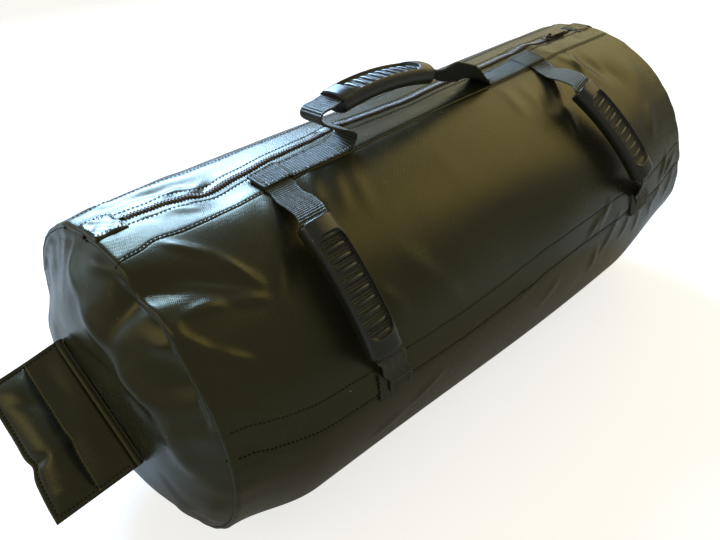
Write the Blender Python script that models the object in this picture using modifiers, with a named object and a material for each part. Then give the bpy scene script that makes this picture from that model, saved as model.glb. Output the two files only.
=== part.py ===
"""Sandbag trainer: a zipped vinyl barrel bag with webbing handles, two filler bags and grab flaps.

Metres, +Z up.  The bag lies along X with its zip on top, its two front handles face -Y, and the
origin is the middle of the flat patch that it rests on.
"""
import bmesh
import bpy
from math import asin, ceil, cos, pi, radians, sin, sqrt
from mathutils import Matrix, Vector

# Driving dimensions of the bag
BAG_RADIUS = 0.140           # outer radius of the round barrel
BAG_LENGTH = 0.600           # rim seam to rim seam
REST_SINK = 0.012            # how far the filled barrel flattens on the floor
REST_BLEND = 0.006           # height over which the flat patch runs into the round side
END_LIFT = 0.022             # how far the underside lifts at the rims
END_NARROWING = 0.007        # how far each side draws in at the rims
END_RUN = 0.080              # length over which the barrel tapers to a rim
CAP_BULGE = 0.025            # how far an end cap stands out past its rim
VINYL = 0.0009               # coated fabric
SEW_GAP = 0.0004             # clearance between sewn layers
SKIRT_GAP = 0.0006           # clearance of a cap's skirt inside the barrel
UPPER_LAP = 0.011            # width of the lapped seams beside the zip
LOWER_LAP = 0.025            # width of the double-stitched seams at mid height
FLANGE_WIDTH = 0.035         # zip centre line to the upper seam, round the barrel
SIDE_PANEL_HEIGHT = 0.182    # upper seam to lower seam, round the barrel
ZIP_OPENING = 0.016          # distance between the flange edges over the zip

# Driving dimensions of the webbing handles
WEBBING_WIDTH = 0.025
WEBBING_THICKNESS = 0.0015
TOP_SEWN_START = 0.177       # far end of a sewn top stretch from the bag's middle
TOP_SEWN_END = 0.093         # where the top loop leaves the bag
TOP_LOOP_HEIGHT = 0.040
GRIP_LENGTH = 0.104
GRIP_WIDTH = 0.029
GRIP_HEIGHT = 0.018
GRIP_ARC_RADIUS = 0.240
GRIP_WALL = 0.0045           # outer wall over the webbing, where the finger ribs are
FRONT_LOOP_STANDOFF = 0.020  # from the bag's side to the ends of a front grip
FRONT_STRAP_X = 0.1645       # middle of a front strap under the top stretch
CUT_GAP = 0.0004             # clearance between a sewn end and the free loop

# Driving dimensions of the zip, the end flaps and the filling
ZIP_PITCH = 0.006
ZIP_LEFT = 0.270
ZIP_RIGHT = 0.268
SLIDER_X = 0.232
FLAP_WIDTH = 0.116
FLAP_LENGTH = 0.064
FLAP_TILT_DEG = 31.0
FLAP_DROOP_DEG = 18.0
FILLER_CLEARANCE = 0.012     # between the shell and a filler bag
FILLER_FABRIC = 0.0010
FILLER_MIDDLE_GAP = 0.020    # between the two filler bags

MERGE = 0.00001
SHARP_DEG = 35.0
AXIS_HEIGHT = BAG_RADIUS - REST_SINK
HALF_LENGTH = BAG_LENGTH / 2
UPPER_SEAM = pi / 2 - FLANGE_WIDTH / BAG_RADIUS
LOWER_SEAM = UPPER_SEAM - SIDE_PANEL_HEIGHT / BAG_RADIUS


def clear_scene():
    for item in list(bpy.data.objects):
        bpy.data.objects.remove(item, do_unlink=True)


clear_scene()
PARTS = bpy.data.collections.new("sandbag_trainer")
CUTTERS = bpy.data.collections.new("cutters")
bpy.context.scene.collection.children.link(PARTS)
bpy.context.scene.collection.children.link(CUTTERS)


def finish_material(name, colour, roughness, metallic=0.0):
    material = bpy.data.materials.new(name)
    material.use_nodes = True
    shader = material.node_tree.nodes["Principled BSDF"]
    shader.inputs["Base Color"].default_value = (*colour, 1.0)
    shader.inputs["Roughness"].default_value = roughness
    shader.inputs["Metallic"].default_value = metallic
    return material


FINISHES = {
    "vinyl": ((0.030, 0.030, 0.024), 0.32),
    "webbing": ((0.115, 0.120, 0.115), 0.75),
    "grip": ((0.022, 0.022, 0.018), 0.38),
    "zip": ((0.035, 0.025, 0.016), 0.50),
    "tape": ((0.020, 0.020, 0.020), 0.85),
    "steel": ((0.160, 0.150, 0.140), 0.35, 1.0),
    "foam": ((0.200, 0.200, 0.190), 0.90),
    "canvas": ((0.150, 0.140, 0.110), 0.85),
    "sand": ((0.500, 0.400, 0.270), 0.95),
}


def add_piece(name, bm, finish, frame=None):
    """A bmesh becomes a named part of its own, with its own material."""
    mesh = bpy.data.meshes.new(name)
    bm.to_mesh(mesh)
    bm.free()
    mesh.shade_smooth()
    mesh.set_sharp_from_angle(angle=radians(SHARP_DEG))
    mesh.materials.append(finish_material(name, *FINISHES[finish]))
    piece = bpy.data.objects.new(name, mesh)
    PARTS.objects.link(piece)
    if frame is not None:
        piece.parent = frame
    return piece


def add_pivot(name, matrix):
    """An empty that stands on a joint's axis and carries what turns with it."""
    pivot = bpy.data.objects.new(name, None)
    pivot.empty_display_size = WEBBING_WIDTH
    pivot.matrix_world = matrix
    PARTS.objects.link(pivot)
    return pivot


def add_cutter(name, bm):
    mesh = bpy.data.meshes.new(name)
    bm.to_mesh(mesh)
    bm.free()
    cutter = bpy.data.objects.new(name, mesh)
    cutter.hide_render = True
    cutter.display_type = "WIRE"
    CUTTERS.objects.link(cutter)
    return cutter


def boolean(piece, operation, cutter):
    modifier = piece.modifiers.new(cutter.name, "BOOLEAN")
    modifier.operation = operation
    modifier.object = cutter
    modifier.solver = "EXACT"


def thicken(piece, thickness):
    """An open sheet gets its thickness on the side that its normals point away from."""
    modifier = piece.modifiers.new("thickness", "SOLIDIFY")
    modifier.thickness = thickness
    modifier.offset = -1.0
    modifier.use_even_offset = True


def mapped_grid(columns, rows, place, inside=None):
    """A unit grid moved point by point: place(u, v) gives the position for u, v in 0..1."""
    bm = bmesh.new()
    bmesh.ops.create_grid(bm, x_segments=columns, y_segments=rows, size=0.5)
    for vert in bm.verts:
        u = round((vert.co.x + 0.5) * columns) / columns
        v = round((vert.co.y + 0.5) * rows) / rows
        vert.co = place(u, v)
    bmesh.ops.remove_doubles(bm, verts=bm.verts, dist=MERGE)
    if inside is None:
        return bm
    bm.normal_update()
    turned = [face for face in bm.faces if face.normal.dot(face.calc_center_median() - inside) < 0.0]
    if len(turned) * 2 > len(bm.faces):
        bmesh.ops.reverse_faces(bm, faces=bm.faces)
    return bm


def close_and_orient(bm):
    bmesh.ops.holes_fill(bm, edges=[edge for edge in bm.edges if edge.is_boundary], sides=0)
    bmesh.ops.recalc_face_normals(bm, faces=bm.faces)
    if bm.calc_volume(signed=True) < 0.0:
        bmesh.ops.reverse_faces(bm, faces=bm.faces)
    return bm


def ease(value):
    clipped = min(max(value, 0.0), 1.0)
    return clipped * clipped * (3.0 - 2.0 * clipped)


# Shape of the filled bag
def end_share(x):
    return ease((abs(x) - HALF_LENGTH + END_RUN) / END_RUN)


def soft_floor(height, floor):
    """The larger of height and floor, with a smooth run between them."""
    above = height - floor
    if above >= REST_BLEND:
        return height
    if above <= -REST_BLEND:
        return floor
    return floor + (above + REST_BLEND) ** 2 / (4.0 * REST_BLEND)


def tapered(x, y, z):
    """The ends of the barrel draw in at the sides and lift off the floor."""
    share = end_share(x)
    top = AXIS_HEIGHT + BAG_RADIUS
    narrowed = y * (1.0 - END_NARROWING / BAG_RADIUS * share)
    lifted = z + END_LIFT * share * (1.0 - z / top)
    return Vector((x, narrowed, lifted))


def on_bag(x, angle, inset=0.0):
    """Point on the barrel: angle 0 is the front at mid height, 90 degrees the zip."""
    radius = BAG_RADIUS - inset
    height = AXIS_HEIGHT + radius * sin(angle)
    return tapered(x, -radius * cos(angle), soft_floor(height, inset))


def bag_centre(x):
    return tapered(x, 0.0, AXIS_HEIGHT)


def barrel_stations(length=HALF_LENGTH):
    """Stations along the barrel: close together where it tapers, far apart where it is straight."""
    taper_steps = 4
    start = HALF_LENGTH - END_RUN
    taper = [start + (length - start) * step / taper_steps for step in range(taper_steps + 1)]
    return [-x for x in reversed(taper)] + [0.0] + taper


# Vinyl panels of the barrel
EDGE_RUN = 0.006             # length over which a tucked edge steps down under its neighbour
SIDE_STEP_DEG = 6.5
BOTTOM_STEP_DEG = 9.0
TUCK_SHARE = 0.25            # where a tucked edge is fully down, of that length before the seam


def panel_angles(low, high, low_tuck, high_tuck, step_deg):
    """Angles across a panel with, for each, how deep it lies: tucked edges lie one layer down."""
    run = EDGE_RUN / BAG_RADIUS
    count = max(2, ceil((high - low) / radians(step_deg)))
    row = [(low + (high - low) * index / count, 0.0) for index in range(count + 1)]
    if low_tuck:
        row[0] = (low + run, 0.0)
        row[:0] = [(low - low_tuck / BAG_RADIUS, 1.0), (low + run * TUCK_SHARE, 1.0)]
    if high_tuck:
        row[-1] = (high - run, 0.0)
        row += [(high - run * TUCK_SHARE, 1.0), (high + high_tuck / BAG_RADIUS, 1.0)]
    return row


def add_panel(name, low, high, low_tuck=0.0, high_tuck=0.0, step_deg=SIDE_STEP_DEG):
    angles = panel_angles(low, high, low_tuck, high_tuck, step_deg)
    stations = barrel_stations()

    def place(u, v):
        angle, depth = angles[round(v * (len(angles) - 1))]
        return on_bag(stations[round(u * (len(stations) - 1))], angle, depth * (VINYL + SEW_GAP))

    sheet = mapped_grid(len(stations) - 1, len(angles) - 1, place, bag_centre(0.0))
    thicken(add_piece(name, sheet, "vinyl"), VINYL)


def add_barrel():
    zip_edge = pi / 2 - ZIP_OPENING / 2 / BAG_RADIUS
    add_panel("front_flange", UPPER_SEAM, zip_edge)
    add_panel("back_flange", pi - zip_edge, pi - UPPER_SEAM)
    add_panel("front_panel", LOWER_SEAM, UPPER_SEAM, 0.0, UPPER_LAP)
    add_panel("back_panel", pi - UPPER_SEAM, pi - LOWER_SEAM, UPPER_LAP, 0.0)
    add_panel("bottom_panel", -pi - LOWER_SEAM, LOWER_SEAM, LOWER_LAP, LOWER_LAP, BOTTOM_STEP_DEG)


# End caps: a drum-tight disc with a skirt that is sewn inside the barrel
CAP_SEGMENTS = 30
CAP_SKIRT = 0.012
SKIRT_INSET = VINYL * 2 + SEW_GAP + SKIRT_GAP    # inside the barrel's two sewn layers
CAP_FLAT_SHARE = 0.46
CAP_RING_SHARES = (0.0, 0.24, 0.46, 0.62, 0.76, 0.89, 1.0)


def cap_bulge(share):
    """The cap is flat round its middle, where the grab flap is sewn, and falls off to the rim."""
    fall = max(share - CAP_FLAT_SHARE, 0.0) / (1.0 - CAP_FLAT_SHARE)
    return CAP_BULGE * (1.0 - fall * fall)


def cap_point(side, share, angle, inset):
    rim = on_bag(HALF_LENGTH, angle, SKIRT_INSET)
    middle = bag_centre(HALF_LENGTH)
    flat = middle + (rim - middle) * share
    return Vector((side * (HALF_LENGTH + cap_bulge(share) - inset), flat.y, flat.z))


def add_end_cap(name, side):
    rings = len(CAP_RING_SHARES)

    def place(u, v):
        angle = 2.0 * pi * u
        ring = round(v * rings)
        if ring < rings:
            return cap_point(side, CAP_RING_SHARES[ring], angle, 0.0)
        rim = on_bag(HALF_LENGTH - CAP_SKIRT, angle, SKIRT_INSET)
        return Vector((side * rim.x, rim.y, rim.z))

    sheet = mapped_grid(CAP_SEGMENTS, rings, place, Vector((0.0, 0.0, AXIS_HEIGHT)))
    thicken(add_piece(name, sheet, "vinyl"), VINYL)


# Zip: two tapes under the flanges, two rows of teeth, slider and pull tab
TAPE_THICKNESS = 0.0008
TAPE_WIDTH = 0.017
TAPE_MIDDLE_GAP = 0.0010
TOOTH_ROOT = 0.0034          # outer edge of the row from the zip's centre line
TOOTH_NECK = 0.0020          # where the teeth start
TOOTH_REACH = 0.0008         # how far a tooth passes the centre line
TOOTH_HEIGHT = 0.0022
TOOTH_ROOT_SHARE = 0.40      # width of a tooth at its root, of the pitch
TOOTH_TIP_SHARE = 0.30
TOOTH_FRONT_SHARE = 0.25     # where the first tooth of each row stands, of the pitch
TOOTH_BACK_SHARE = 0.75


def add_zip_tape(name, side):
    tape_inset = VINYL + SEW_GAP
    stations = barrel_stations()
    rows = 3

    def place(u, v):
        across = TAPE_MIDDLE_GAP + (TAPE_WIDTH - TAPE_MIDDLE_GAP) * v
        x = stations[round(u * (len(stations) - 1))] * (HALF_LENGTH - CAP_SKIRT * 2) / HALF_LENGTH
        return on_bag(x, pi / 2 - side * across / BAG_RADIUS, tape_inset)

    sheet = mapped_grid(len(stations) - 1, rows, place, bag_centre(0.0))
    thicken(add_piece(name, sheet, "tape"), TAPE_THICKNESS)


def tooth_outline(side, shift):
    """A row seen from above: a straight back edge and a tooth at each pitch."""
    start = -ZIP_LEFT
    count = int((ZIP_LEFT + ZIP_RIGHT) / ZIP_PITCH)
    root = ZIP_PITCH * TOOTH_ROOT_SHARE / 2
    tip = ZIP_PITCH * TOOTH_TIP_SHARE / 2
    outline = [(start, TOOTH_ROOT), (start, TOOTH_NECK)]
    for index in range(count):
        middle = start + ZIP_PITCH * (index + shift)
        outline += [(middle - root, TOOTH_NECK), (middle - tip, -TOOTH_REACH)]
        outline += [(middle + tip, -TOOTH_REACH), (middle + root, TOOTH_NECK)]
    end = start + ZIP_PITCH * (count + shift)
    outline += [(end, TOOTH_NECK), (end, TOOTH_ROOT)]
    return [(x, -side * y) for x, y in outline]


def outline_solid(outline, bottom, top):
    """A flat outline of (x, y) points raised from bottom to top."""
    bm = bmesh.new()
    face = bm.faces.new([bm.verts.new((x, y, bottom)) for x, y in outline])
    raised = bmesh.ops.extrude_face_region(bm, geom=[face])
    moved = [item for item in raised["geom"] if isinstance(item, bmesh.types.BMVert)]
    bmesh.ops.translate(bm, verts=moved, vec=(0.0, 0.0, top - bottom))
    bmesh.ops.recalc_face_normals(bm, faces=bm.faces)
    return bm


ZIP_TOP = AXIS_HEIGHT + BAG_RADIUS
TOOTH_BASE = ZIP_TOP - VINYL
TOOTH_TOP = TOOTH_BASE + TOOTH_HEIGHT


def add_zip_teeth(name, side, shift):
    outline = tooth_outline(side, shift)
    add_piece(name, outline_solid(outline, TOOTH_BASE, TOOTH_TOP), "zip")


SLIDER_LENGTH = 0.014
SLIDER_WALL = 0.0013
SLIDER_CLEARANCE = 0.0004
BRIDGE_WIRE = 0.0016
BRIDGE_LENGTH = 0.0076
BRIDGE_HEIGHT = 0.0042
PULL_LENGTH = 0.027
PULL_WIDTH = 0.0085
PULL_THICKNESS = 0.0014
PULL_BAR = 0.0016            # bar that turns under the slider's bridge
PULL_EYE_LENGTH = 0.0042
PULL_EYE_WIDTH = 0.0034
PULL_NECK_SHARE = 0.8        # width of the tab beside its eye, of its full width


def box(bm, low, high):
    """A closed box between two corners."""
    size = Vector(high) - Vector(low)
    middle = (Vector(high) + Vector(low)) / 2
    bmesh.ops.create_cube(bm, size=1.0, matrix=Matrix.Translation(middle) @ Matrix.Diagonal((*size, 1.0)))


def tube_mesh(name, points, radius, sides_resolution=1):
    """A round wire along points, closed at its ends, as a mesh object's data."""
    curve = bpy.data.curves.new(name, "CURVE")
    curve.dimensions = "3D"
    curve.bevel_depth = radius
    curve.bevel_resolution = sides_resolution
    curve.use_fill_caps = True
    spline = curve.splines.new("POLY")
    spline.points.add(len(points) - 1)
    for target, point in zip(spline.points, points):
        target.co = (*point, 1.0)
    holder = bpy.data.objects.new(name, curve)
    CUTTERS.objects.link(holder)
    evaluated = holder.evaluated_get(bpy.context.evaluated_depsgraph_get())
    mesh = bpy.data.meshes.new_from_object(evaluated)
    bm = bmesh.new()
    bm.from_mesh(mesh)
    bmesh.ops.remove_doubles(bm, verts=bm.verts, dist=MERGE)
    bmesh.ops.recalc_face_normals(bm, faces=bm.faces)
    bpy.data.objects.remove(holder, do_unlink=True)
    bpy.data.meshes.remove(mesh)
    return bm


def add_slider():
    """A channel that rides over the teeth, with a wire bridge for the pull tab."""
    pivot_z = TOOTH_TOP + SLIDER_CLEARANCE + SLIDER_WALL + SLIDER_CLEARANCE + PULL_BAR / 2
    pivot = add_pivot("zip_slider_pivot", Matrix.Translation((SLIDER_X, 0.0, pivot_z)))
    half_inner = TOOTH_ROOT + SLIDER_CLEARANCE
    half_outer = half_inner + SLIDER_WALL
    top = TOOTH_TOP + SLIDER_CLEARANCE + SLIDER_WALL - pivot_z
    low = TOOTH_BASE - pivot_z
    body = bmesh.new()
    box(body, (-SLIDER_LENGTH / 2, -half_outer, low), (SLIDER_LENGTH / 2, half_outer, top))
    upright = [edge for edge in body.edges if abs(edge.verts[0].co.z - edge.verts[1].co.z) > MERGE]
    bmesh.ops.bevel(body, geom=upright, offset=SLIDER_WALL, segments=2, affect="EDGES")
    slider = add_piece("zip_slider", body, "steel", pivot)
    channel = bmesh.new()
    reach = SLIDER_LENGTH
    box(channel, (-reach, -half_inner, low - SLIDER_WALL), (reach, half_inner, top - SLIDER_WALL))
    channel_cutter = add_cutter("slider_channel_cutter", channel)
    channel_cutter.parent = pivot
    boolean(slider, "DIFFERENCE", channel_cutter)
    foot = top - SLIDER_WALL / 2
    crown = top + BRIDGE_HEIGHT - BRIDGE_WIRE / 2
    half = BRIDGE_LENGTH / 2
    corner = BRIDGE_WIRE
    arch = [(-half, 0.0, foot), (-half, 0.0, crown - corner), (-half + corner, 0.0, crown)]
    arch += [(half - corner, 0.0, crown), (half, 0.0, crown - corner), (half, 0.0, foot)]
    bridge = add_cutter("slider_bridge_union", tube_mesh("slider_bridge", arch, BRIDGE_WIRE / 2))
    bridge.parent = pivot
    boolean(slider, "UNION", bridge)
    return pivot


def add_pull_tab(slider_pivot):
    """A flat tab with an eye; its end bar turns under the slider's bridge."""
    pivot = add_pivot("zip_pull_tab_pivot", Matrix.Identity(4))
    pivot.parent = slider_pivot
    half = PULL_WIDTH / 2
    neck = PULL_BAR / 2
    waist = half * PULL_NECK_SHARE
    shoulder = PULL_LENGTH / 3
    nose = PULL_WIDTH / 4
    outline = [(-neck, -waist), (shoulder, -waist), (shoulder + nose, -half)]
    outline += [(PULL_LENGTH - nose, -half), (PULL_LENGTH, -nose), (PULL_LENGTH, nose)]
    outline += [(PULL_LENGTH - nose, half), (shoulder + nose, half)]
    outline += [(shoulder, waist), (-neck, waist)]
    tab = add_piece("zip_pull_tab", outline_solid(outline, -PULL_THICKNESS / 2, PULL_THICKNESS / 2),
                    "steel", pivot)
    eye = bmesh.new()
    half_eye = PULL_EYE_WIDTH / 2
    box(eye, (neck, -half_eye, -PULL_THICKNESS), (neck + PULL_EYE_LENGTH, half_eye, PULL_THICKNESS))
    eye_cutter = add_cutter("pull_tab_eye_cutter", eye)
    eye_cutter.parent = pivot
    boolean(tab, "DIFFERENCE", eye_cutter)


END_TAB_LENGTH = 0.026
END_TAB_WIDTH = 0.027
END_TAB_SETBACK = 0.001


def add_zip_end_tab(name, side):
    """A folded vinyl tab sewn over each end of the zip."""
    columns, rows = 3, 4
    raised = -(TOOTH_TOP - ZIP_TOP + SEW_GAP + VINYL)

    def place(u, v):
        x = HALF_LENGTH - END_TAB_SETBACK - END_TAB_LENGTH * u
        angle = pi / 2 + END_TAB_WIDTH / BAG_RADIUS * (v - 0.5)
        return on_bag(side * x, angle, raised)

    sheet = mapped_grid(columns, rows, place, bag_centre(0.0))
    thicken(add_piece(name, sheet, "vinyl"), VINYL)


# Webbing straps: a flat section carried along a smooth path
class Strap:
    """Path points with, for each, the direction of the webbing's width and how much it is bowed.

    Where flat is given, the width lies square to it instead of square to the path, so a strap
    that slants over the bag stays level on it.
    """

    def __init__(self):
        self.points = []
        self.widths = []
        self.bows = []
        self.flats = []
        self.marks = {}

    def add(self, point, width, bow=0.0, flat=None, mark=None):
        if mark is not None:
            self.marks[mark] = len(self.points)
        self.points.append(Vector(point))
        self.widths.append(Vector(width).normalized())
        self.bows.append(bow)
        self.flats.append(flat)

    def stretch(self, start, end):
        """The points from start to end, both included."""
        part = Strap()
        for index in range(start, end + 1):
            part.add(self.points[index], self.widths[index], self.bows[index], self.flats[index])
        return part


STRAP_STEP = 0.007
SECTION_SHARES = (-1.0, 0.0, 1.0)
SEWN_LEVEL = SEW_GAP + WEBBING_THICKNESS / 2
DOUBLE_LEVEL = SEWN_LEVEL + SEW_GAP + WEBBING_THICKNESS


def smooth_strap(strap):
    """Catmull-Rom curve through the strap's points, in steps of nearly even length."""
    points = strap.points
    names = {index: mark for mark, index in strap.marks.items()}
    result = Strap()
    last = len(points) - 1
    for index in range(last):
        before = points[max(index - 1, 0)]
        start, end = points[index], points[index + 1]
        after = points[min(index + 2, last)]
        pieces = max(1, round((end - start).length / STRAP_STEP))
        for piece in range(pieces):
            t = piece / pieces
            curve = start * 2.0 + (end - before) * t
            curve += (before * 2.0 - start * 5.0 + end * 4.0 - after) * t ** 2
            curve += (start * 3.0 - before - end * 3.0 + after) * t ** 3
            bow = strap.bows[index] + (strap.bows[index + 1] - strap.bows[index]) * t
            width = strap.widths[index].lerp(strap.widths[index + 1], t)
            flat, next_flat = strap.flats[index], strap.flats[index + 1]
            level = flat.lerp(next_flat, t) if flat and next_flat else None
            result.add(curve / 2.0, width, bow, level, names.get(index) if piece == 0 else None)
    result.add(points[-1], strap.widths[-1], strap.bows[-1], strap.flats[-1])
    return result


def strap_frames(strap, start_cut, end_cut):
    """Point, width direction and thickness direction of each section; a cut one lies in its plane."""
    frames = []
    last = len(strap.points) - 1
    for index, point in enumerate(strap.points):
        tangent = (strap.points[min(index + 1, last)] - strap.points[max(index - 1, 0)]).normalized()
        square_to = strap.flats[index] or tangent
        square_to = square_to.normalized()
        width = strap.widths[index]
        width = (width - square_to * width.dot(square_to)).normalized()
        normal = width.cross(tangent).normalized()
        cut = {0: start_cut, last: end_cut}.get(index)
        if cut is not None:
            plane = cut.normalized()
            width = (width - plane * width.dot(plane)).normalized()
            flat = normal - plane * normal.dot(plane)
            normal = flat / flat.dot(normal)
            point = point + cut
        frames.append((point, width, normal))
    return frames


def strap_solid(strap, start_cut=None, end_cut=None):
    """A closed loft of the webbing's section along the strap."""
    across = len(SECTION_SHARES)
    ring_size = across * 2
    frames = strap_frames(strap, start_cut, end_cut)

    def place(u, v):
        index = round(u * (len(frames) - 1))
        corner = round(v * ring_size) % ring_size
        point, width, normal = frames[index]
        upper = corner < across
        share = SECTION_SHARES[corner] if upper else SECTION_SHARES[ring_size - 1 - corner]
        offset = share * WEBBING_WIDTH / 2
        sag = strap.bows[index] * offset ** 2 / (2.0 * BAG_RADIUS)
        lift = WEBBING_THICKNESS / 2 if upper else -WEBBING_THICKNESS / 2
        return point + width * offset + normal * (lift + sag)

    return close_and_orient(mapped_grid(len(frames) - 1, ring_size, place))


def add_strap_stretch(name, strap, start_cut=None, end_cut=None, pivot=None):
    bm = strap_solid(strap, start_cut, end_cut)
    if pivot is not None:
        bm.transform(pivot.matrix_world.inverted())
    add_piece(name, bm, "webbing", pivot)


def add_cut_strap(names, strap, axis, pivot):
    """A strap in three stretches: sewn end, free loop and sewn end, parted square to the hinge axis."""
    fine = smooth_strap(strap)
    first, second = fine.marks["first cut"], fine.marks["second cut"]
    last = len(fine.points) - 1
    gap = axis * CUT_GAP / 2
    sign = -1.0 if (fine.points[first + 1] - fine.points[first]).dot(axis) > 0.0 else 1.0
    add_strap_stretch(names[0], fine.stretch(0, first), None, gap * sign)
    add_strap_stretch(names[1], fine.stretch(first, second), gap * -sign, -gap, pivot)
    add_strap_stretch(names[2], fine.stretch(second, last), gap, None)


def around(angle):
    """Direction round the barrel, from the front over the zip."""
    return Vector((0.0, sin(angle), cos(angle)))


def radial(angle):
    return Vector((0.0, -cos(angle), sin(angle)))


# Moulded grip: an arched sleeve with a window of finger ribs on its outer face
GRIP_SEGMENTS = 20
GRIP_ROUNDING = 2.6          # exponent of the sleeve's rounded section
GRIP_STATION_SHARES = (-1.0, -0.97, -0.80, -0.73, -0.36, 0.0, 0.36, 0.73, 0.80, 0.97, 1.0)
GRIP_END_SHARE = 0.90        # size of the section at a rounded end
GRIP_WINDOW_SHARE = 0.75
GRIP_RECESS = 0.0010
BORE_CLEARANCE = 0.0005
BORE_OVERRUN = 0.004
RIB_PITCH = 0.0084
SLOT_COUNT = 9
SLOT_SHARE = 0.52            # slot width, of the pitch
SLOT_ROUND_SHARE = 0.45      # corner size, of the slot width
SLOT_LENGTH = 0.022          # slot across the sleeve, between its side rails
BORE_LEVEL = GRIP_HEIGHT / 2 - GRIP_WALL - WEBBING_THICKNESS / 2 - BORE_CLEARANCE
GRIP_STRAP_SHARES = (-1.06, -0.94, -0.50, 0.0, 0.50, 0.94, 1.06)


def grip_arc(along, level=0.0):
    """Point on the sleeve's arc, whose middle is the origin and whose ends bend towards -Z."""
    angle = along / GRIP_ARC_RADIUS
    radius = GRIP_ARC_RADIUS + level
    return Vector((radius * sin(angle), 0.0, radius * cos(angle) - GRIP_ARC_RADIUS))


def rounded_section(angle, half_width, half_height):
    """Superellipse, with fuller corners than an ellipse."""
    power = 2.0 / GRIP_ROUNDING
    y = half_width * abs(cos(angle)) ** power * (1.0 if cos(angle) >= 0.0 else -1.0)
    z = half_height * abs(sin(angle)) ** power * (1.0 if sin(angle) >= 0.0 else -1.0)
    return y, z


def grip_outer_mesh():
    stations = GRIP_STATION_SHARES

    def place(u, v):
        share = stations[round(u * (len(stations) - 1))]
        end = GRIP_END_SHARE if abs(share) == 1.0 else 1.0
        y, z = rounded_section(2.0 * pi * v, GRIP_WIDTH / 2 * end, GRIP_HEIGHT / 2 * end)
        if abs(share) < GRIP_WINDOW_SHARE and z > 0.0:
            z *= 1.0 - GRIP_RECESS * 2.0 / GRIP_HEIGHT
        return grip_arc(share * GRIP_LENGTH / 2, z) + Vector((0.0, y, 0.0))

    return close_and_orient(mapped_grid(len(stations) - 1, GRIP_SEGMENTS, place))


def grip_bore_mesh():
    """The slot that the webbing runs through, a little longer than the sleeve."""
    steps = 8
    half_length = GRIP_LENGTH / 2 + BORE_OVERRUN
    half_width = WEBBING_WIDTH / 2 + BORE_CLEARANCE
    half_height = WEBBING_THICKNESS / 2 + BORE_CLEARANCE
    corner = BORE_CLEARANCE
    section = [(half_width, corner - half_height), (half_width, half_height - corner)]
    section += [(half_width - corner, half_height), (corner - half_width, half_height)]
    section += [(-half_width, half_height - corner), (-half_width, corner - half_height)]
    section += [(corner - half_width, -half_height), (half_width - corner, -half_height)]
    sides = len(section)

    def place(u, v):
        y, z = section[round(v * sides) % sides]
        return grip_arc((2.0 * u - 1.0) * half_length, BORE_LEVEL + z) + Vector((0.0, y, 0.0))

    return close_and_orient(mapped_grid(steps, sides, place))


def grip_slots_mesh():
    """One block with bevelled corners for each gap between finger ribs, from the webbing outwards."""
    slots = bmesh.new()
    width = RIB_PITCH * SLOT_SHARE
    for index in range(SLOT_COUNT):
        block = bmesh.new()
        box(block, (-width / 2, -SLOT_LENGTH / 2, BORE_LEVEL), (width / 2, SLOT_LENGTH / 2, GRIP_HEIGHT))
        upright = [edge for edge in block.edges if abs(edge.verts[0].co.z - edge.verts[1].co.z) > MERGE]
        bmesh.ops.bevel(block, geom=upright, offset=width * SLOT_ROUND_SHARE, segments=1, affect="EDGES")
        angle = RIB_PITCH * (index - (SLOT_COUNT - 1) / 2) / GRIP_ARC_RADIUS
        middle = Matrix.Translation((0.0, 0.0, -GRIP_ARC_RADIUS))
        block.transform(middle @ Matrix.Rotation(angle, 4, "Y") @ middle.inverted())
        mesh = bpy.data.meshes.new("slot")
        block.to_mesh(mesh)
        block.free()
        slots.from_mesh(mesh)
        bpy.data.meshes.remove(mesh)
    return slots


def add_grip(name, place, pivot):
    """The sleeve stands at place, a matrix from its own frame to the world, and turns with pivot."""
    local = pivot.matrix_world.inverted() @ place
    grip = add_piece(name, grip_outer_mesh(), "grip", pivot)
    grip.matrix_local = local
    for kind, made in (("bore", grip_bore_mesh()), ("slots", grip_slots_mesh())):
        cutter = add_cutter(f"{name}_{kind}_cutter", made)
        cutter.parent = pivot
        cutter.matrix_local = local
        boolean(grip, "DIFFERENCE", cutter)


def grip_frame(start, end, outward):
    """Frame of a sleeve whose ends stand at start and end, arched towards outward."""
    along = (end - start).normalized()
    up = (outward - along * outward.dot(along)).normalized()
    frame = Matrix((along, up.cross(along), up)).transposed().to_4x4()
    frame.translation = (start + end) / 2 - up * grip_arc(GRIP_LENGTH / 2).z
    return frame


def strap_through_grip(strap, frame):
    width = frame.to_3x3() @ Vector((0.0, 1.0, 0.0))
    flat = frame.to_3x3() @ Vector((0.0, 0.0, 1.0))
    for share in GRIP_STRAP_SHARES:
        strap.add(frame @ grip_arc(GRIP_LENGTH / 2 * share, BORE_LEVEL), width, 0.0, flat)


def grip_chord():
    return 2.0 * GRIP_ARC_RADIUS * sin(GRIP_LENGTH / 2 / GRIP_ARC_RADIUS)


# Top handle.  Its points are shares of the sewn end's distance from the middle and of the loop's
# height: the left end folds back over the sewn stretch before it enters the grip.
TOP_HANDLE_ANGLE = UPPER_SEAM + WEBBING_WIDTH / 2 / BAG_RADIUS
TOP_FOLD_SHARES = ((-0.905, 0.080), (-0.890, 0.235))
TOP_LEFT_CUT_SHARES = (-0.960, 0.345)
TOP_CURL_SHARES = ((-1.080, 0.480), (-1.215, 0.660), (-1.262, 0.800), (-1.225, 0.920), (-1.130, 0.945))
TOP_GRIP_MIDDLE_SHARES = (-0.457, 0.850)
TOP_GRIP_SLOPE_DEG = -2.8
TOP_LEAVE_SHARES = ((0.250, 0.720), (0.470, 0.570))
TOP_RIGHT_CUT_SHARES = (0.720, 0.345)
TOP_SETTLE_SHARES = ((0.860, 0.160), (0.940, 0.045))
TOP_TWIST_DEG = (18.0, 55.0, 52.0, 13.0, 1.5)
RAISED_RUN = 0.006


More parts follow.
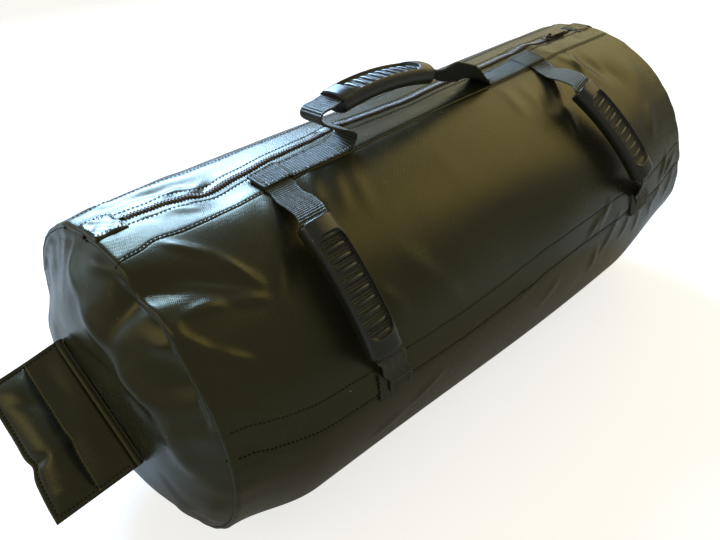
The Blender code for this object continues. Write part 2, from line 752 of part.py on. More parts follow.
def top_level(x):
    """The sewn stretch steps up where a front strap lies under it."""
    edge = FRONT_STRAP_X - WEBBING_WIDTH / 2 - RAISED_RUN
    return SEWN_LEVEL + (DOUBLE_LEVEL - SEWN_LEVEL) * ease((abs(x) - edge) / RAISED_RUN)


def loop_point(shares):
    start = on_bag(0.0, TOP_HANDLE_ANGLE, -SEWN_LEVEL)
    return Vector((TOP_SEWN_END * shares[0], start.y, start.z + TOP_LOOP_HEIGHT * shares[1]))


def top_sewn_positions():
    edge = FRONT_STRAP_X - WEBBING_WIDTH / 2
    ramp_end = edge - RAISED_RUN
    raised = [TOP_SEWN_START, edge, (edge + ramp_end) / 2]
    return raised + [ramp_end, (TOP_SEWN_END + ramp_end) / 2, TOP_SEWN_END]


def top_grip_frame():
    middle = loop_point(TOP_GRIP_MIDDLE_SHARES)
    slope = radians(TOP_GRIP_SLOPE_DEG)
    half = Vector((cos(slope), 0.0, sin(slope))) * grip_chord() / 2
    return grip_frame(middle - half, middle + half, Vector((0.0, 0.0, 1.0)))


def top_strap(frame):
    """The whole top strap, sewn down at both ends, with its free loop through the grip."""
    strap = Strap()
    back = Vector((0.0, 1.0, 0.0))
    for x in top_sewn_positions():
        strap.add(on_bag(-x, TOP_HANDLE_ANGLE, -top_level(x)), around(TOP_HANDLE_ANGLE), 1.0)
    for shares in TOP_FOLD_SHARES:
        strap.add(loop_point(shares), back)
    strap.add(loop_point(TOP_LEFT_CUT_SHARES), back, mark="first cut")
    for shares in TOP_CURL_SHARES:
        strap.add(loop_point(shares), back)
    strap_through_grip(strap, frame)
    row = TOP_LEAVE_SHARES + (TOP_RIGHT_CUT_SHARES,) + TOP_SETTLE_SHARES
    for shares, twist in zip(row, TOP_TWIST_DEG):
        turned = Matrix.Rotation(radians(-twist), 3, "X") @ back
        strap.add(loop_point(shares), turned, mark="second cut" if shares == TOP_RIGHT_CUT_SHARES else None)
    for x in reversed(top_sewn_positions()):
        strap.add(on_bag(x, TOP_HANDLE_ANGLE, -top_level(x)), around(TOP_HANDLE_ANGLE), 1.0)
    return strap


def add_top_handle():
    frame = top_grip_frame()
    pivot = add_pivot("top_handle_pivot", Matrix.Translation(loop_point(TOP_LEFT_CUT_SHARES)))
    names = ("top_strap_left", "top_strap_loop", "top_strap_right")
    add_cut_strap(names, top_strap(frame), Vector((1.0, 0.0, 0.0)), pivot)
    add_grip("top_grip", frame, pivot)


# Front handles: each strap comes from under the top stretch and is sewn down over the lower seam
FRONT_GRIP_DROP = 0.0955     # upper seam to the middle of a front grip, round the barrel
LEFT_GRIP_X = (-0.1788, -0.1762)
RIGHT_GRIP_X = (0.1493, 0.1765)
LEFT_BASE_X = -0.152
RIGHT_BASE_X = 0.206
FRONT_TUCK_SHARE = 0.80      # how much of the top stretch's width covers the strap's end
FRONT_LEAVE = 0.005          # upper seam to where the strap lifts off
BASE_LEAVE = 0.008           # lower seam to where the strap lifts off
BASE_END = 0.006             # how far the sewn end passes the lower seam
# Shares of the way from the sewn end to the grip, and of the height of the strap in the grip
FRONT_RISE_SHARES = ((0.12, 0.035), (0.32, 0.18), (0.56, 0.55), (0.82, 0.91))
FRONT_CUT_INDEX = 2


def front_rise(strap, sewn, grip, across, mark, falling):
    """The strap between its sewn end and the grip, each given as x and angle; it turns square to
    the grip as soon as it is off the bag."""
    sewn_x, sewn_angle = sewn
    grip_x, grip_angle = grip
    level = FRONT_LOOP_STANDOFF + BORE_LEVEL
    row = list(enumerate(FRONT_RISE_SHARES))
    for index, (way, height) in (reversed(row) if falling else row):
        x = sewn_x + (grip_x - sewn_x) * way
        angle = sewn_angle + (grip_angle - sewn_angle) * way
        rise = SEWN_LEVEL + (level - SEWN_LEVEL) * height
        width = across if index else Vector((1.0, 0.0, 0.0))
        cut = mark if index == FRONT_CUT_INDEX else None
        strap.add(on_bag(x, angle, -rise), width, 0.0, radial(angle), cut)


def front_handle_geometry(grip_x):
    """Frame of the grip and the angles of its two ends."""
    radius = BAG_RADIUS + FRONT_LOOP_STANDOFF
    middle = UPPER_SEAM - FRONT_GRIP_DROP / BAG_RADIUS
    run = sqrt(grip_chord() ** 2 - (grip_x[1] - grip_x[0]) ** 2)
    half = asin(run / 2 / radius)
    start = on_bag(grip_x[0], middle + half, -FRONT_LOOP_STANDOFF)
    end = on_bag(grip_x[1], middle - half, -FRONT_LOOP_STANDOFF)
    return grip_frame(start, end, radial(middle)), middle + half, middle - half


def add_front_handle(side, strap_x, grip_x, base_x):
    frame, top_angle, low_angle = front_handle_geometry(grip_x)
    width = Vector((1.0, 0.0, 0.0))
    across = frame.to_3x3() @ Vector((0.0, 1.0, 0.0))
    strap = Strap()
    tuck = UPPER_SEAM + WEBBING_WIDTH / BAG_RADIUS * FRONT_TUCK_SHARE
    leave = UPPER_SEAM - FRONT_LEAVE / BAG_RADIUS
    for angle in (tuck, (tuck + leave) / 2, leave):
        strap.add(on_bag(strap_x, angle, -SEWN_LEVEL), width, 0.0, radial(angle))
    front_rise(strap, (strap_x, leave), (grip_x[0], top_angle), across, "first cut", False)
    strap_through_grip(strap, frame)
    base = LOWER_SEAM + BASE_LEAVE / BAG_RADIUS
    front_rise(strap, (base_x, base), (grip_x[1], low_angle), across, "second cut", True)
    for angle in (base, LOWER_SEAM, LOWER_SEAM - BASE_END / BAG_RADIUS):
        strap.add(on_bag(base_x, angle, -SEWN_LEVEL), width, 0.0, radial(angle))
    first = strap.points[strap.marks["first cut"]]
    second = strap.points[strap.marks["second cut"]]
    axis = (second - first).normalized()
    turn = Vector((0.0, 0.0, 1.0)).rotation_difference(axis).to_matrix().to_4x4()
    pivot = add_pivot(f"{side}_handle_pivot", Matrix.Translation(first) @ turn)
    add_cut_strap((f"{side}_strap_top", f"{side}_strap_loop", f"{side}_strap_base"), strap, axis, pivot)
    add_grip(f"{side}_grip", frame, pivot)
    add_strap_tail(f"{side}_strap_tail", base_x)


TAIL_LENGTH = 0.013
TAIL_WIDTH = 0.011


def add_strap_tail(name, base_x):
    """The strap's end, folded slantwise under it, shows as a small triangle at its left."""
    edge = base_x - WEBBING_WIDTH / 2 - SEW_GAP
    steps = 3

    def place(u, v):
        x = edge - TAIL_WIDTH * (1.0 - u) * v
        angle = LOWER_SEAM + (TAIL_LENGTH * u - BASE_END) / BAG_RADIUS
        return on_bag(x, angle, -SEW_GAP - WEBBING_THICKNESS)

    sheet = mapped_grid(steps, 1, place, bag_centre(base_x))
    thicken(add_piece(name, sheet, "webbing"), WEBBING_THICKNESS)


# End flaps: two vinyl sheets sewn together round a foam roll, hinged on a seam across the cap
FLAP_ROOT_WIDTH = 0.010
FLAP_ROOT_RISE = 0.0036      # cap seam to the line that the flap turns on
FLAP_START = 0.0008
FLAP_HALF_GAP = 0.0003       # half of the clearance between the two sheets
FLAP_SHEET = 0.0011
FLAP_PAD_START = 0.035
FLAP_PAD_RISE = 0.0070
FLAP_PAD_ROUND = 0.6         # exponents of the pad's round back and of its flat ends
FLAP_PAD_END_POWER = 6
FLAP_PAD_SHARES = (0.0, 0.1, 0.3, 0.5, 0.7, 0.9, 1.0)
FLAP_ROW_SHARES = (-1.0, -0.9, -0.7, 0.0, 0.7, 0.9, 1.0)
CORE_PAD_SHARES = (0.1, 0.3, 0.5, 0.7, 0.9)
CORE_ROW_SHARES = (-0.8, -0.7, 0.0, 0.7, 0.8)
CORE_HEIGHT_SHARE = 0.8      # of the pad's half thickness


def pad_along(share):
    return FLAP_PAD_START + (FLAP_LENGTH - FLAP_PAD_START) * share


def pad_rise(share, row):
    """Half thickness of the flap's padded outer half: round across the roll, falling to its ends."""
    ends = 1.0 - abs(row) ** FLAP_PAD_END_POWER
    return FLAP_PAD_RISE * max(sin(pi * share), 0.0) ** FLAP_PAD_ROUND * ends


def flap_matrix(side):
    """X runs out along the flap, Y along its root, Z square to it."""
    tilt, droop = radians(FLAP_TILT_DEG), radians(FLAP_DROOP_DEG)
    root = Vector((0.0, -cos(tilt), -sin(tilt)))
    fall = Vector((0.0, sin(tilt), -cos(tilt)))
    out = Vector((side * cos(droop), 0.0, 0.0)) + fall * sin(droop)
    matrix = Matrix((out, root, out.cross(root))).transposed().to_4x4()
    middle = bag_centre(HALF_LENGTH)
    x = side * (HALF_LENGTH + CAP_BULGE + SEW_GAP + VINYL + FLAP_ROOT_RISE)
    matrix.translation = (x, middle.y, middle.z)
    return matrix


def add_flap_sheet(name, face, pivot):
    stations = [(FLAP_START, 0.0)] + [(pad_along(share), share) for share in FLAP_PAD_SHARES]
    rows = FLAP_ROW_SHARES

    def place(u, v):
        along, share = stations[round(u * (len(stations) - 1))]
        row = rows[round(v * (len(rows) - 1))]
        height = FLAP_HALF_GAP + FLAP_SHEET + pad_rise(share, row)
        return Vector((along, row * FLAP_WIDTH / 2, face * height))

    middle = Vector((FLAP_LENGTH / 2, 0.0, 0.0))
    sheet = mapped_grid(len(stations) - 1, len(rows) - 1, place, middle)
    thicken(add_piece(name, sheet, "vinyl", pivot), FLAP_SHEET)


def add_flap_core(name, pivot):
    """A foam roll that fills the padded half."""
    section = [(share, 1.0) for share in CORE_PAD_SHARES]
    section += [(share, -1.0) for share in reversed(CORE_PAD_SHARES)]
    rows = CORE_ROW_SHARES

    def place(u, v):
        share, face = section[round(v * len(section)) % len(section)]
        row = rows[round(u * (len(rows) - 1))]
        height = pad_rise(share, row) * CORE_HEIGHT_SHARE
        return Vector((pad_along(share), row * FLAP_WIDTH / 2, face * height))

    core = close_and_orient(mapped_grid(len(rows) - 1, len(section), place))
    add_piece(name, core, "foam", pivot)


def add_flap_root(name, side):
    """The sewn root: a flat strip on the cap under the line that the flap turns on."""
    bm = bmesh.new()
    half = FLAP_ROOT_WIDTH / 2
    box(bm, (-half, -FLAP_WIDTH / 2, 0.0), (half, FLAP_WIDTH / 2, VINYL))
    bmesh.ops.bevel(bm, geom=[edge for edge in bm.edges if edge.calc_length() < VINYL + MERGE],
                    offset=FLAP_ROOT_WIDTH / 4, segments=2, affect="EDGES")
    tilt = radians(FLAP_TILT_DEG)
    root = Vector((0.0, -cos(tilt), -sin(tilt)))
    out = Vector((side, 0.0, 0.0))
    matrix = Matrix((root.cross(out), root, out)).transposed().to_4x4()
    middle = bag_centre(HALF_LENGTH)
    matrix.translation = (side * (HALF_LENGTH + CAP_BULGE + SEW_GAP), middle.y, middle.z)
    piece = add_piece(name, bm, "vinyl")
    piece.matrix_world = matrix


def add_end_flap(label, side):
    add_flap_root(f"{label}_flap_root", side)
    pivot = add_pivot(f"{label}_flap_pivot", flap_matrix(side))
    add_flap_sheet(f"{label}_flap_upper_sheet", 1.0, pivot)
    add_flap_sheet(f"{label}_flap_lower_sheet", -1.0, pivot)
    add_flap_core(f"{label}_flap_core", pivot)


# Filling: two bags of sand, each with a folded neck held shut by hook and loop
FILLER_SEGMENTS = 16
FILLER_END_SHARES = (0.0, 0.55, 0.86, 1.0)       # size of the section at the closed end
FILLER_END_RUN = 0.034
FILLER_INNER_SHARE = 0.90
FILLER_MOUTH_SHARE = 0.42
NECK_THICKNESS = 0.007
NECK_WIDTH = 0.110
NECK_HEIGHT = 0.060
SAND_CLEARANCE = 0.0015


def filler_section(side, x, size, angle, inset):
    rim = on_bag(x, angle, inset)
    middle = bag_centre(x)
    point = middle + (rim - middle) * size
    return Vector((side * x, point.y, point.z))


def filler_rows(inset):
    """Stations of one filling bag from its closed outer end to its inner end, with section sizes."""
    outer = HALF_LENGTH - inset
    inner = FILLER_MIDDLE_GAP / 2 + inset - FILLER_CLEARANCE
    count = len(FILLER_END_SHARES) - 1
    rows = [(outer - FILLER_END_RUN * (1.0 - cos(pi / 2 * index / count)), FILLER_END_SHARES[index])
            for index in range(count + 1)]
    rows += [(HALF_LENGTH - END_RUN, 1.0), (inner + FILLER_END_RUN / 2, 1.0), (inner, FILLER_INNER_SHARE)]
    return rows, inner


def add_filler_bag(name, side):
    rows, inner = filler_rows(FILLER_CLEARANCE)
    rows.append((inner, FILLER_MOUTH_SHARE))

    def place(u, v):
        x, size = rows[round(v * (len(rows) - 1))]
        return filler_section(side, x, size, 2.0 * pi * u, FILLER_CLEARANCE)

    inside = Vector((side * HALF_LENGTH / 2, 0.0, AXIS_HEIGHT))
    sheet = mapped_grid(FILLER_SEGMENTS, len(rows) - 1, place, inside)
    thicken(add_piece(name, sheet, "canvas"), FILLER_FABRIC)


def add_sand(name, side):
    rows, inner = filler_rows(FILLER_CLEARANCE + FILLER_FABRIC + SAND_CLEARANCE)
    rows.append((inner, 0.0))

    def place(u, v):
        x, size = rows[round(v * (len(rows) - 1))]
        return filler_section(side, x, size, 2.0 * pi * u, FILLER_CLEARANCE + FILLER_FABRIC + SAND_CLEARANCE)

    add_piece(name, close_and_orient(mapped_grid(FILLER_SEGMENTS, len(rows) - 1, place)), "sand")


def add_filler_neck(name, side):
    """The neck, folded over and pressed flat across the mouth."""
    bm = bmesh.new()
    x = FILLER_MIDDLE_GAP / 2 - SEW_GAP
    low = Vector((x - NECK_THICKNESS, -NECK_WIDTH / 2, AXIS_HEIGHT - NECK_HEIGHT / 2))
    high = Vector((x, NECK_WIDTH / 2, AXIS_HEIGHT + NECK_HEIGHT / 2))
    box(bm, low, high)
    bmesh.ops.bevel(bm, geom=list(bm.edges), offset=NECK_THICKNESS / 3, segments=2, affect="EDGES")
    if side < 0.0:
        bmesh.ops.rotate(bm, verts=bm.verts, cent=(0.0, 0.0, 0.0), matrix=Matrix.Rotation(pi, 3, "Z"))
    add_piece(name, bm, "canvas")


def build():
    add_barrel()
    add_zip_tape("zip_tape_front", 1.0)
    add_zip_tape("zip_tape_back", -1.0)
    add_zip_teeth("zip_teeth_front", 1.0, TOOTH_FRONT_SHARE)
    add_zip_teeth("zip_teeth_back", -1.0, TOOTH_BACK_SHARE)
    add_pull_tab(add_slider())
    for label, side in (("left", -1.0), ("right", 1.0)):
        add_end_cap(f"{label}_end_cap", side)
        add_zip_end_tab(f"zip_end_tab_{label}", side)
        add_end_flap(label, side)
        add_filler_bag(f"{label}_filler_bag", side)
        add_sand(f"{label}_sand", side)
        add_filler_neck(f"{label}_filler_neck", side)
    add_top_handle()
    add_front_handle("left", -FRONT_STRAP_X, LEFT_GRIP_X, LEFT_BASE_X)
    add_front_handle("right", FRONT_STRAP_X, RIGHT_GRIP_X, RIGHT_BASE_X)


build()
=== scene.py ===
import bpy
import numpy as np
from mathutils import Matrix, Vector


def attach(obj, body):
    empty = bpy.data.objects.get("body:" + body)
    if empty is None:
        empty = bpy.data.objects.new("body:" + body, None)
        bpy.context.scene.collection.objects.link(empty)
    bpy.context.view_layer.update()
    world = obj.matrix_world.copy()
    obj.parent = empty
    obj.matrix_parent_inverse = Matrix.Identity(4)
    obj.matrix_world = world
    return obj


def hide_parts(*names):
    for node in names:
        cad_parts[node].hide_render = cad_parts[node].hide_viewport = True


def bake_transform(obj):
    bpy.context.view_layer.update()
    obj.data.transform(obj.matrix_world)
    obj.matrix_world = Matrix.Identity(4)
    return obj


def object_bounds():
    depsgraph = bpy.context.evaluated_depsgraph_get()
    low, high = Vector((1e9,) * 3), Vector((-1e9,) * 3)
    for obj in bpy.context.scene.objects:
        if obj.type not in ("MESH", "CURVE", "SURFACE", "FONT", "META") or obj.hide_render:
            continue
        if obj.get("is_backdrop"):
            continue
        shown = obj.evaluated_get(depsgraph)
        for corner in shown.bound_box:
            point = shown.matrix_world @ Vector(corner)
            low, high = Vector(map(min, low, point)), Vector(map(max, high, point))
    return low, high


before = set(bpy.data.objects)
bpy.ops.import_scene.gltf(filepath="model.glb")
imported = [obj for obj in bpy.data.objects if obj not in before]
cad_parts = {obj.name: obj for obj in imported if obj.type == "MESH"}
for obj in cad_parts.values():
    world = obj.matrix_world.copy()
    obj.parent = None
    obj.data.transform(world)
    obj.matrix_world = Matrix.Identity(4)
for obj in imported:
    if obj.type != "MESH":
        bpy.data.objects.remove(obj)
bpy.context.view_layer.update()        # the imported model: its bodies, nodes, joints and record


# The photographer's place: the camera stands at the bag's left front, above it, and looks along
# the barrel towards its far right end. The place and the lens were fitted to the bag's seams.
camera = bpy.data.objects.new("camera", bpy.data.cameras.new("camera"))
bpy.context.scene.collection.objects.link(camera)
bpy.context.scene.camera = camera
to_right, to_top = (0.7193, -0.6919, -0.0632), (0.4187, 0.3590, 0.8342)
forward = (0.5544, 0.6265, -0.5479)
place = Matrix((to_right, to_top, [-step for step in forward])).transposed().to_4x4()
place.translation = (-0.4518, -0.4435, 0.5089)
camera.matrix_world = place
camera.data.sensor_width = 36.0
camera.data.lens = 37.1
camera.data.clip_start = 0.01
camera.data.clip_end = 60.0


# The studio: a pale floor sheet that the bag stands on, a large warm panel to the right front
# that the coated fabric mirrors, a cool window behind the bag, and a dim even room round it.
bpy.context.scene.view_settings.view_transform = "Standard"


def add_lamp(name, at, aim, size, colour, watts):
    """A soft rectangular lamp at a place, turned to face the point it aims at."""
    lamp = bpy.data.objects.new(name, bpy.data.lights.new(name, "AREA"))
    lamp.data.shape = "RECTANGLE"
    lamp.data.size, lamp.data.size_y = size
    lamp.data.color = colour
    lamp.data.energy = watts
    lamp.location = at
    lamp.rotation_euler = (Vector(aim) - Vector(at)).to_track_quat("-Z", "Y").to_euler()
    bpy.context.scene.collection.objects.link(lamp)
    return lamp


add_lamp("warm_panel", (1.75, -0.40, 1.55), (0.0, 0.0, 0.15), (2.3, 1.5), (1.0, 0.78, 0.27), 18.5)
add_lamp("warm_wall", (2.3, 1.35, 1.05), (0.1, 0.0, 0.2), (1.2, 1.0), (1.0, 0.82, 0.34), 4.0)
window = add_lamp("window", (0.52, 1.70, 1.40), (-0.20, 0.0, 0.27), (0.95, 1.25), (0.42, 0.66, 1.0), 38.0)
window.data.spread = np.radians(100.0)
add_lamp("left_fill", (-1.9, 0.2, 1.3), (0.0, 0.0, 0.1), (1.0, 1.0), (1.0, 0.84, 0.52), 6.0)
add_lamp("doorway", (-1.55, 1.45, 0.62), (-0.3, 0.0, 0.15), (0.7, 0.7), (0.50, 0.72, 1.0), 4.0)


def add_node(tree, kind, sources=(), **settings):
    """A shader node of that kind. sources gives (input, value or output socket) pairs."""
    made = tree.nodes.new(kind)
    for key, value in settings.items():
        setattr(made, key, value)
    for key, value in sources:
        if isinstance(value, bpy.types.NodeSocket):
            tree.links.new(value, made.inputs[key])
        else:
            made.inputs[key].default_value = value
    return made


def add_math(tree, operation, *values):
    """The result of a Math node with the values as its inputs, in order."""
    return add_node(tree, "ShaderNodeMath", enumerate(values), operation=operation).outputs[0]


MIRRORED_SHARE = 0.11


def background_share(tree, level, lit):
    """Strength of a background: lit, plus level where the camera sees it straight, plus a small
    part of level where it is seen in a gloss or through glass."""
    rays = add_node(tree, "ShaderNodeLightPath").outputs
    seen = add_math(tree, "MAXIMUM", rays["Is Glossy Ray"], rays["Is Transmission Ray"])
    seen = add_math(tree, "MULTIPLY_ADD", seen, MIRRORED_SHARE, rays["Is Camera Ray"])
    return add_math(tree, "MULTIPLY_ADD", seen, level, lit)


room = bpy.data.worlds.new("room")
bpy.context.scene.world = room
room.use_nodes = True
walls = room.node_tree
seen_straight = add_node(walls, "ShaderNodeLightPath").outputs["Is Camera Ray"]
tints = [("Factor", seen_straight), ("A", (0.97, 0.95, 0.82, 1.0)), ("B", (1.0, 1.0, 1.0, 1.0))]
seen_white = add_node(walls, "ShaderNodeMix", tints, data_type="RGBA")
walls.links.new(seen_white.outputs["Result"], walls.nodes["Background"].inputs["Color"])
walls.links.new(background_share(walls, 0.75, 0.30), walls.nodes["Background"].inputs["Strength"])


class Finish:
    """A material under construction: adds shader nodes and joins them by socket name."""

    def __init__(self, name, colour, roughness, specular=0.5):
        self.material = bpy.data.materials.new(name)
        self.material.use_nodes = True
        self.tree = self.material.node_tree
        self.shader = self.tree.nodes["Principled BSDF"]
        self.colour = colour
        self.spot = self.node("ShaderNodeTexCoord").outputs["Object"]
        self.set("Base Color", (*colour, 1.0))
        self.set("Roughness", roughness)
        self.set("Specular IOR Level", specular)

    def set(self, name, value):
        self.shader.inputs[name].default_value = value

    def feed(self, name, source):
        self.tree.links.new(source, self.shader.inputs[name])

    def node(self, kind, sources=(), **settings):
        return add_node(self.tree, kind, sources, **settings)

    def math(self, operation, *values):
        return add_math(self.tree, operation, *values)

    def texture(self, kind, scale, **more):
        """The outputs of a Noise or Voronoi texture over the object's own coordinates."""
        sources = [("Vector", self.spot), ("Scale", scale), *more.items()]
        return self.node("ShaderNodeTex" + kind, sources).outputs

    def mix(self, share, *ends):
        """The first colour where share is 0 and the second where it is 1."""
        first, second = (end if isinstance(end, bpy.types.NodeSocket) else (*end, 1.0) for end in ends)
        sources = [("Factor", share), ("A", first), ("B", second)]
        return self.node("ShaderNodeMix", sources, data_type="RGBA").outputs["Result"]

    def clouded(self, share, low, high):
        """The finish's own colour, times low where share is 0 and times high where it is 1."""
        return self.mix(share, *([part * factor for part in self.colour] for factor in (low, high)))

    def bump(self, height, strength, distance):
        sources = [("Height", height), ("Strength", strength), ("Distance", distance)]
        self.feed("Normal", self.node("ShaderNodeBump", sources).outputs["Normal"])


floor_finish = Finish("floor_sheet", (0.47, 0.47, 0.46), 0.85, 0.2)
floor_finish.bump(floor_finish.texture("Noise", 900.0)["Fac"], 0.05, 0.001)
floor_finish.set("Emission Color", (1.0, 0.995, 0.98, 1.0))
floor_finish.feed("Emission Strength", background_share(floor_finish.tree, 0.76, 0.0))
FLOOR_HALF, FLOOR_LEVEL = 5.0, -0.0003
corners = [(x * FLOOR_HALF, y * FLOOR_HALF, FLOOR_LEVEL) for x, y in ((-1, -1), (1, -1), (1, 1), (-1, 1))]
floor_mesh = bpy.data.meshes.new("floor")
floor_mesh.from_pydata(corners, [], [(0, 1, 2, 3)])
floor_mesh.materials.append(floor_finish.material)
floor = bpy.data.objects.new("floor", floor_mesh)
bpy.context.scene.collection.objects.link(floor)
floor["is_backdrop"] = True


# The coated fabric: black-olive vinyl on a woven scrim. It is satin where clean, the weave prints
# through it faintly, and a used bag carries lint, dust specks and light scuffs.
def effect_group(name, knob, outputs):
    """A shader node group that takes a Vector and one number: its tree, both inputs, its outputs."""
    tree = bpy.data.node_groups.new(name, "ShaderNodeTree")
    for label, kind in (("Vector", "NodeSocketVector"), (knob, "NodeSocketFloat")):
        tree.interface.new_socket(label, in_out="INPUT", socket_type=kind)
    for label in outputs:
        tree.interface.new_socket(label, in_out="OUTPUT", socket_type="NodeSocketFloat")
    given = tree.nodes.new("NodeGroupInput").outputs
    return tree, given["Vector"], given[knob], tree.nodes.new("NodeGroupOutput").inputs


scrim, cloth_place, pitch, results = effect_group("scrim_weave", "Pitch", ["Height"])
parts = add_node(scrim, "ShaderNodeSeparateXYZ", [("Vector", cloth_place)]).outputs
threads = []
for first, second, sign in (("X", "Y", -1.0), ("Y", "X", 1.0)):
    across = add_math(scrim, "MULTIPLY_ADD", parts[second], sign, parts[first])
    turns = add_math(scrim, "MULTIPLY", add_math(scrim, "DIVIDE", across, pitch), np.pi / np.sqrt(2.0))
    threads.append(add_math(scrim, "ABSOLUTE", add_math(scrim, "SINE", turns)))
scrim.links.new(add_math(scrim, "MULTIPLY", *threads), results["Height"])

SPECK_CHANCE, SPECK_LEAST, SPECK_SPREAD = 0.06, 0.018, 0.045
dust, spot, amount, results = effect_group("dust_and_scuffs", "Amount", ["Specks", "Scuffs", "Haze"])
cells = add_node(dust, "ShaderNodeTexVoronoi", [("Vector", spot), ("Scale", 95.0)]).outputs
lot = add_node(dust, "ShaderNodeSeparateColor", [("Color", cells["Color"])]).outputs
rarest = add_math(dust, "MULTIPLY_ADD", amount, -SPECK_CHANCE, 1.0)
chosen = add_math(dust, "GREATER_THAN", lot["Red"], rarest)
speck_size = add_math(dust, "MULTIPLY_ADD", lot["Green"], SPECK_SPREAD, SPECK_LEAST)
covered = add_math(dust, "LESS_THAN", cells["Distance"], speck_size)
dust.links.new(add_math(dust, "MULTIPLY", chosen, covered), results["Specks"])
drawn_out = [("Vector", spot), ("Rotation", (0.0, 0.0, 0.9)), ("Scale", (9.0, 160.0, 60.0))]
drawn_out = add_node(dust, "ShaderNodeMapping", drawn_out).outputs["Vector"]
scuffed = amount
for vector, scale, detail, distortion, low, high in ((drawn_out, 2.0, 3.0, 0.4, 0.70, 0.78),
                                                     (spot, 9.0, 2.0, 0.0, 0.48, 0.70)):
    sources = [("Vector", vector), ("Scale", scale), ("Detail", detail), ("Distortion", distortion)]
    noise = add_node(dust, "ShaderNodeTexNoise", sources).outputs["Fac"]
    sources = [("Value", noise), ("From Min", low), ("From Max", high)]
    band = add_node(dust, "ShaderNodeMapRange", sources).outputs[0]
    scuffed = add_math(dust, "MULTIPLY", scuffed, band)
dust.links.new(scuffed, results["Scuffs"])
sources = [("Vector", spot), ("Scale", 26.0), ("Detail", 6.0), ("Roughness", 0.65)]
dust.links.new(add_node(dust, "ShaderNodeTexNoise", sources).outputs["Fac"], results["Haze"])


def worn_surface(made, amount, scuffs, clouds, dirt, gloss):
    """Haze clouds the colour and the gloss, and pale specks and scuffs lie on it. Gives the marks
    and the roughness, which is the haze times the first value of gloss plus the second."""
    sources = [("Vector", made.spot), ("Amount", amount)]
    wear = made.node("ShaderNodeGroup", sources, node_tree=dust).outputs
    marks = made.math("MAXIMUM", wear["Specks"], made.math("MULTIPLY", wear["Scuffs"], scuffs))
    made.feed("Base Color", made.mix(marks, made.clouded(wear["Haze"], *clouds), dirt))
    return marks, made.math("MULTIPLY_ADD", wear["Haze"], *gloss)


# The bump is the scrim's print, a fine pebble and a soft unevenness.
vinyl = Finish("coated_fabric", (0.0210, 0.0215, 0.0130), 0.26, 0.38)
vinyl.set("Specular Tint", (1.0, 0.94, 0.50, 1.0))
marks, satin = worn_surface(vinyl, 1.0, 0.30, (0.80, 1.25), (0.42, 0.41, 0.37), (0.16, 0.18))
vinyl.feed("Roughness", vinyl.math("MULTIPLY_ADD", marks, 0.35, satin))
sources = [("Vector", vinyl.node("ShaderNodeUVMap", uv_map="cloth").outputs["UV"]), ("Pitch", 0.0012)]
weave = vinyl.node("ShaderNodeGroup", sources, node_tree=scrim).outputs["Height"]
soft = vinyl.math("MULTIPLY", vinyl.texture("Noise", 40.0, Detail=3.0)["Fac"], 1.6)
pebbled = vinyl.math("MULTIPLY_ADD", vinyl.texture("Noise", 650.0)["Fac"], 0.25, soft)
vinyl.bump(vinyl.math("MULTIPLY_ADD", weave, 0.42, pebbled), 0.55, 0.00022)


# The barrel: three wide panels and two zip flanges, cut from the coated fabric, lapped and sewn.
# The sand pulls it round, its weight presses a flat patch on the floor, and the fabric lies in
# soft folds between the two filler bags and puckers where the caps are sewn in.
BAG_RADIUS = 0.140
HALF_LENGTH = 0.300
AXIS_HEIGHT = 0.128
END_LIFT, END_NARROWING, END_RUN = 0.022, 0.007, 0.080
REST_BLEND = 0.006
UPPER_SEAM = np.pi / 2 - 0.035 / BAG_RADIUS
LOWER_SEAM = UPPER_SEAM - 0.182 / BAG_RADIUS
FABRIC = 0.0009


def ease(value):
    """0 below 0, 1 above 1 and a smooth cubic between."""
    value = np.clip(value, 0.0, 1.0)
    return value * value * (3.0 - 2.0 * value)


def eased_table(x, stations, values):
    """Values at their stations with an eased step from each to the next."""
    stations, values = np.asarray(stations), np.asarray(values)
    after = np.clip(np.searchsorted(stations, x, side="right"), 1, len(stations) - 1)
    before = after - 1
    share = ease((x - stations[before]) / (stations[after] - stations[before]))
    return values[before] + (values[after] - values[before]) * share


def stacked(*columns):
    """The columns as the parts of points: broadcast to one shape and stacked on a last axis."""
    return np.stack(np.broadcast_arrays(*columns), axis=-1)


def round_form(x, turn, out):
    """The even barrel: a circle of radius BAG_RADIUS plus out, turned from the front (0) over the
    zip (quarter turn), flattened on the floor, drawn in at the sides and lifted at both ends."""
    radius = BAG_RADIUS + out
    height = AXIS_HEIGHT + radius * np.sin(turn)
    floor_level = np.maximum(-out, 0.0)
    over = height - floor_level + REST_BLEND
    pressed = floor_level + np.clip(over, 0.0, 2.0 * REST_BLEND) ** 2 / (4.0 * REST_BLEND)
    height = np.where(over >= 2.0 * REST_BLEND, height, pressed)
    share = ease((np.abs(x) - HALF_LENGTH + END_RUN) / END_RUN)
    side = -radius * np.cos(turn) * (1.0 - END_NARROWING / BAG_RADIUS * share)
    lifted = height + END_LIFT * share * (1.0 - height / (AXIS_HEIGHT + BAG_RADIUS))
    return stacked(x, side, lifted)


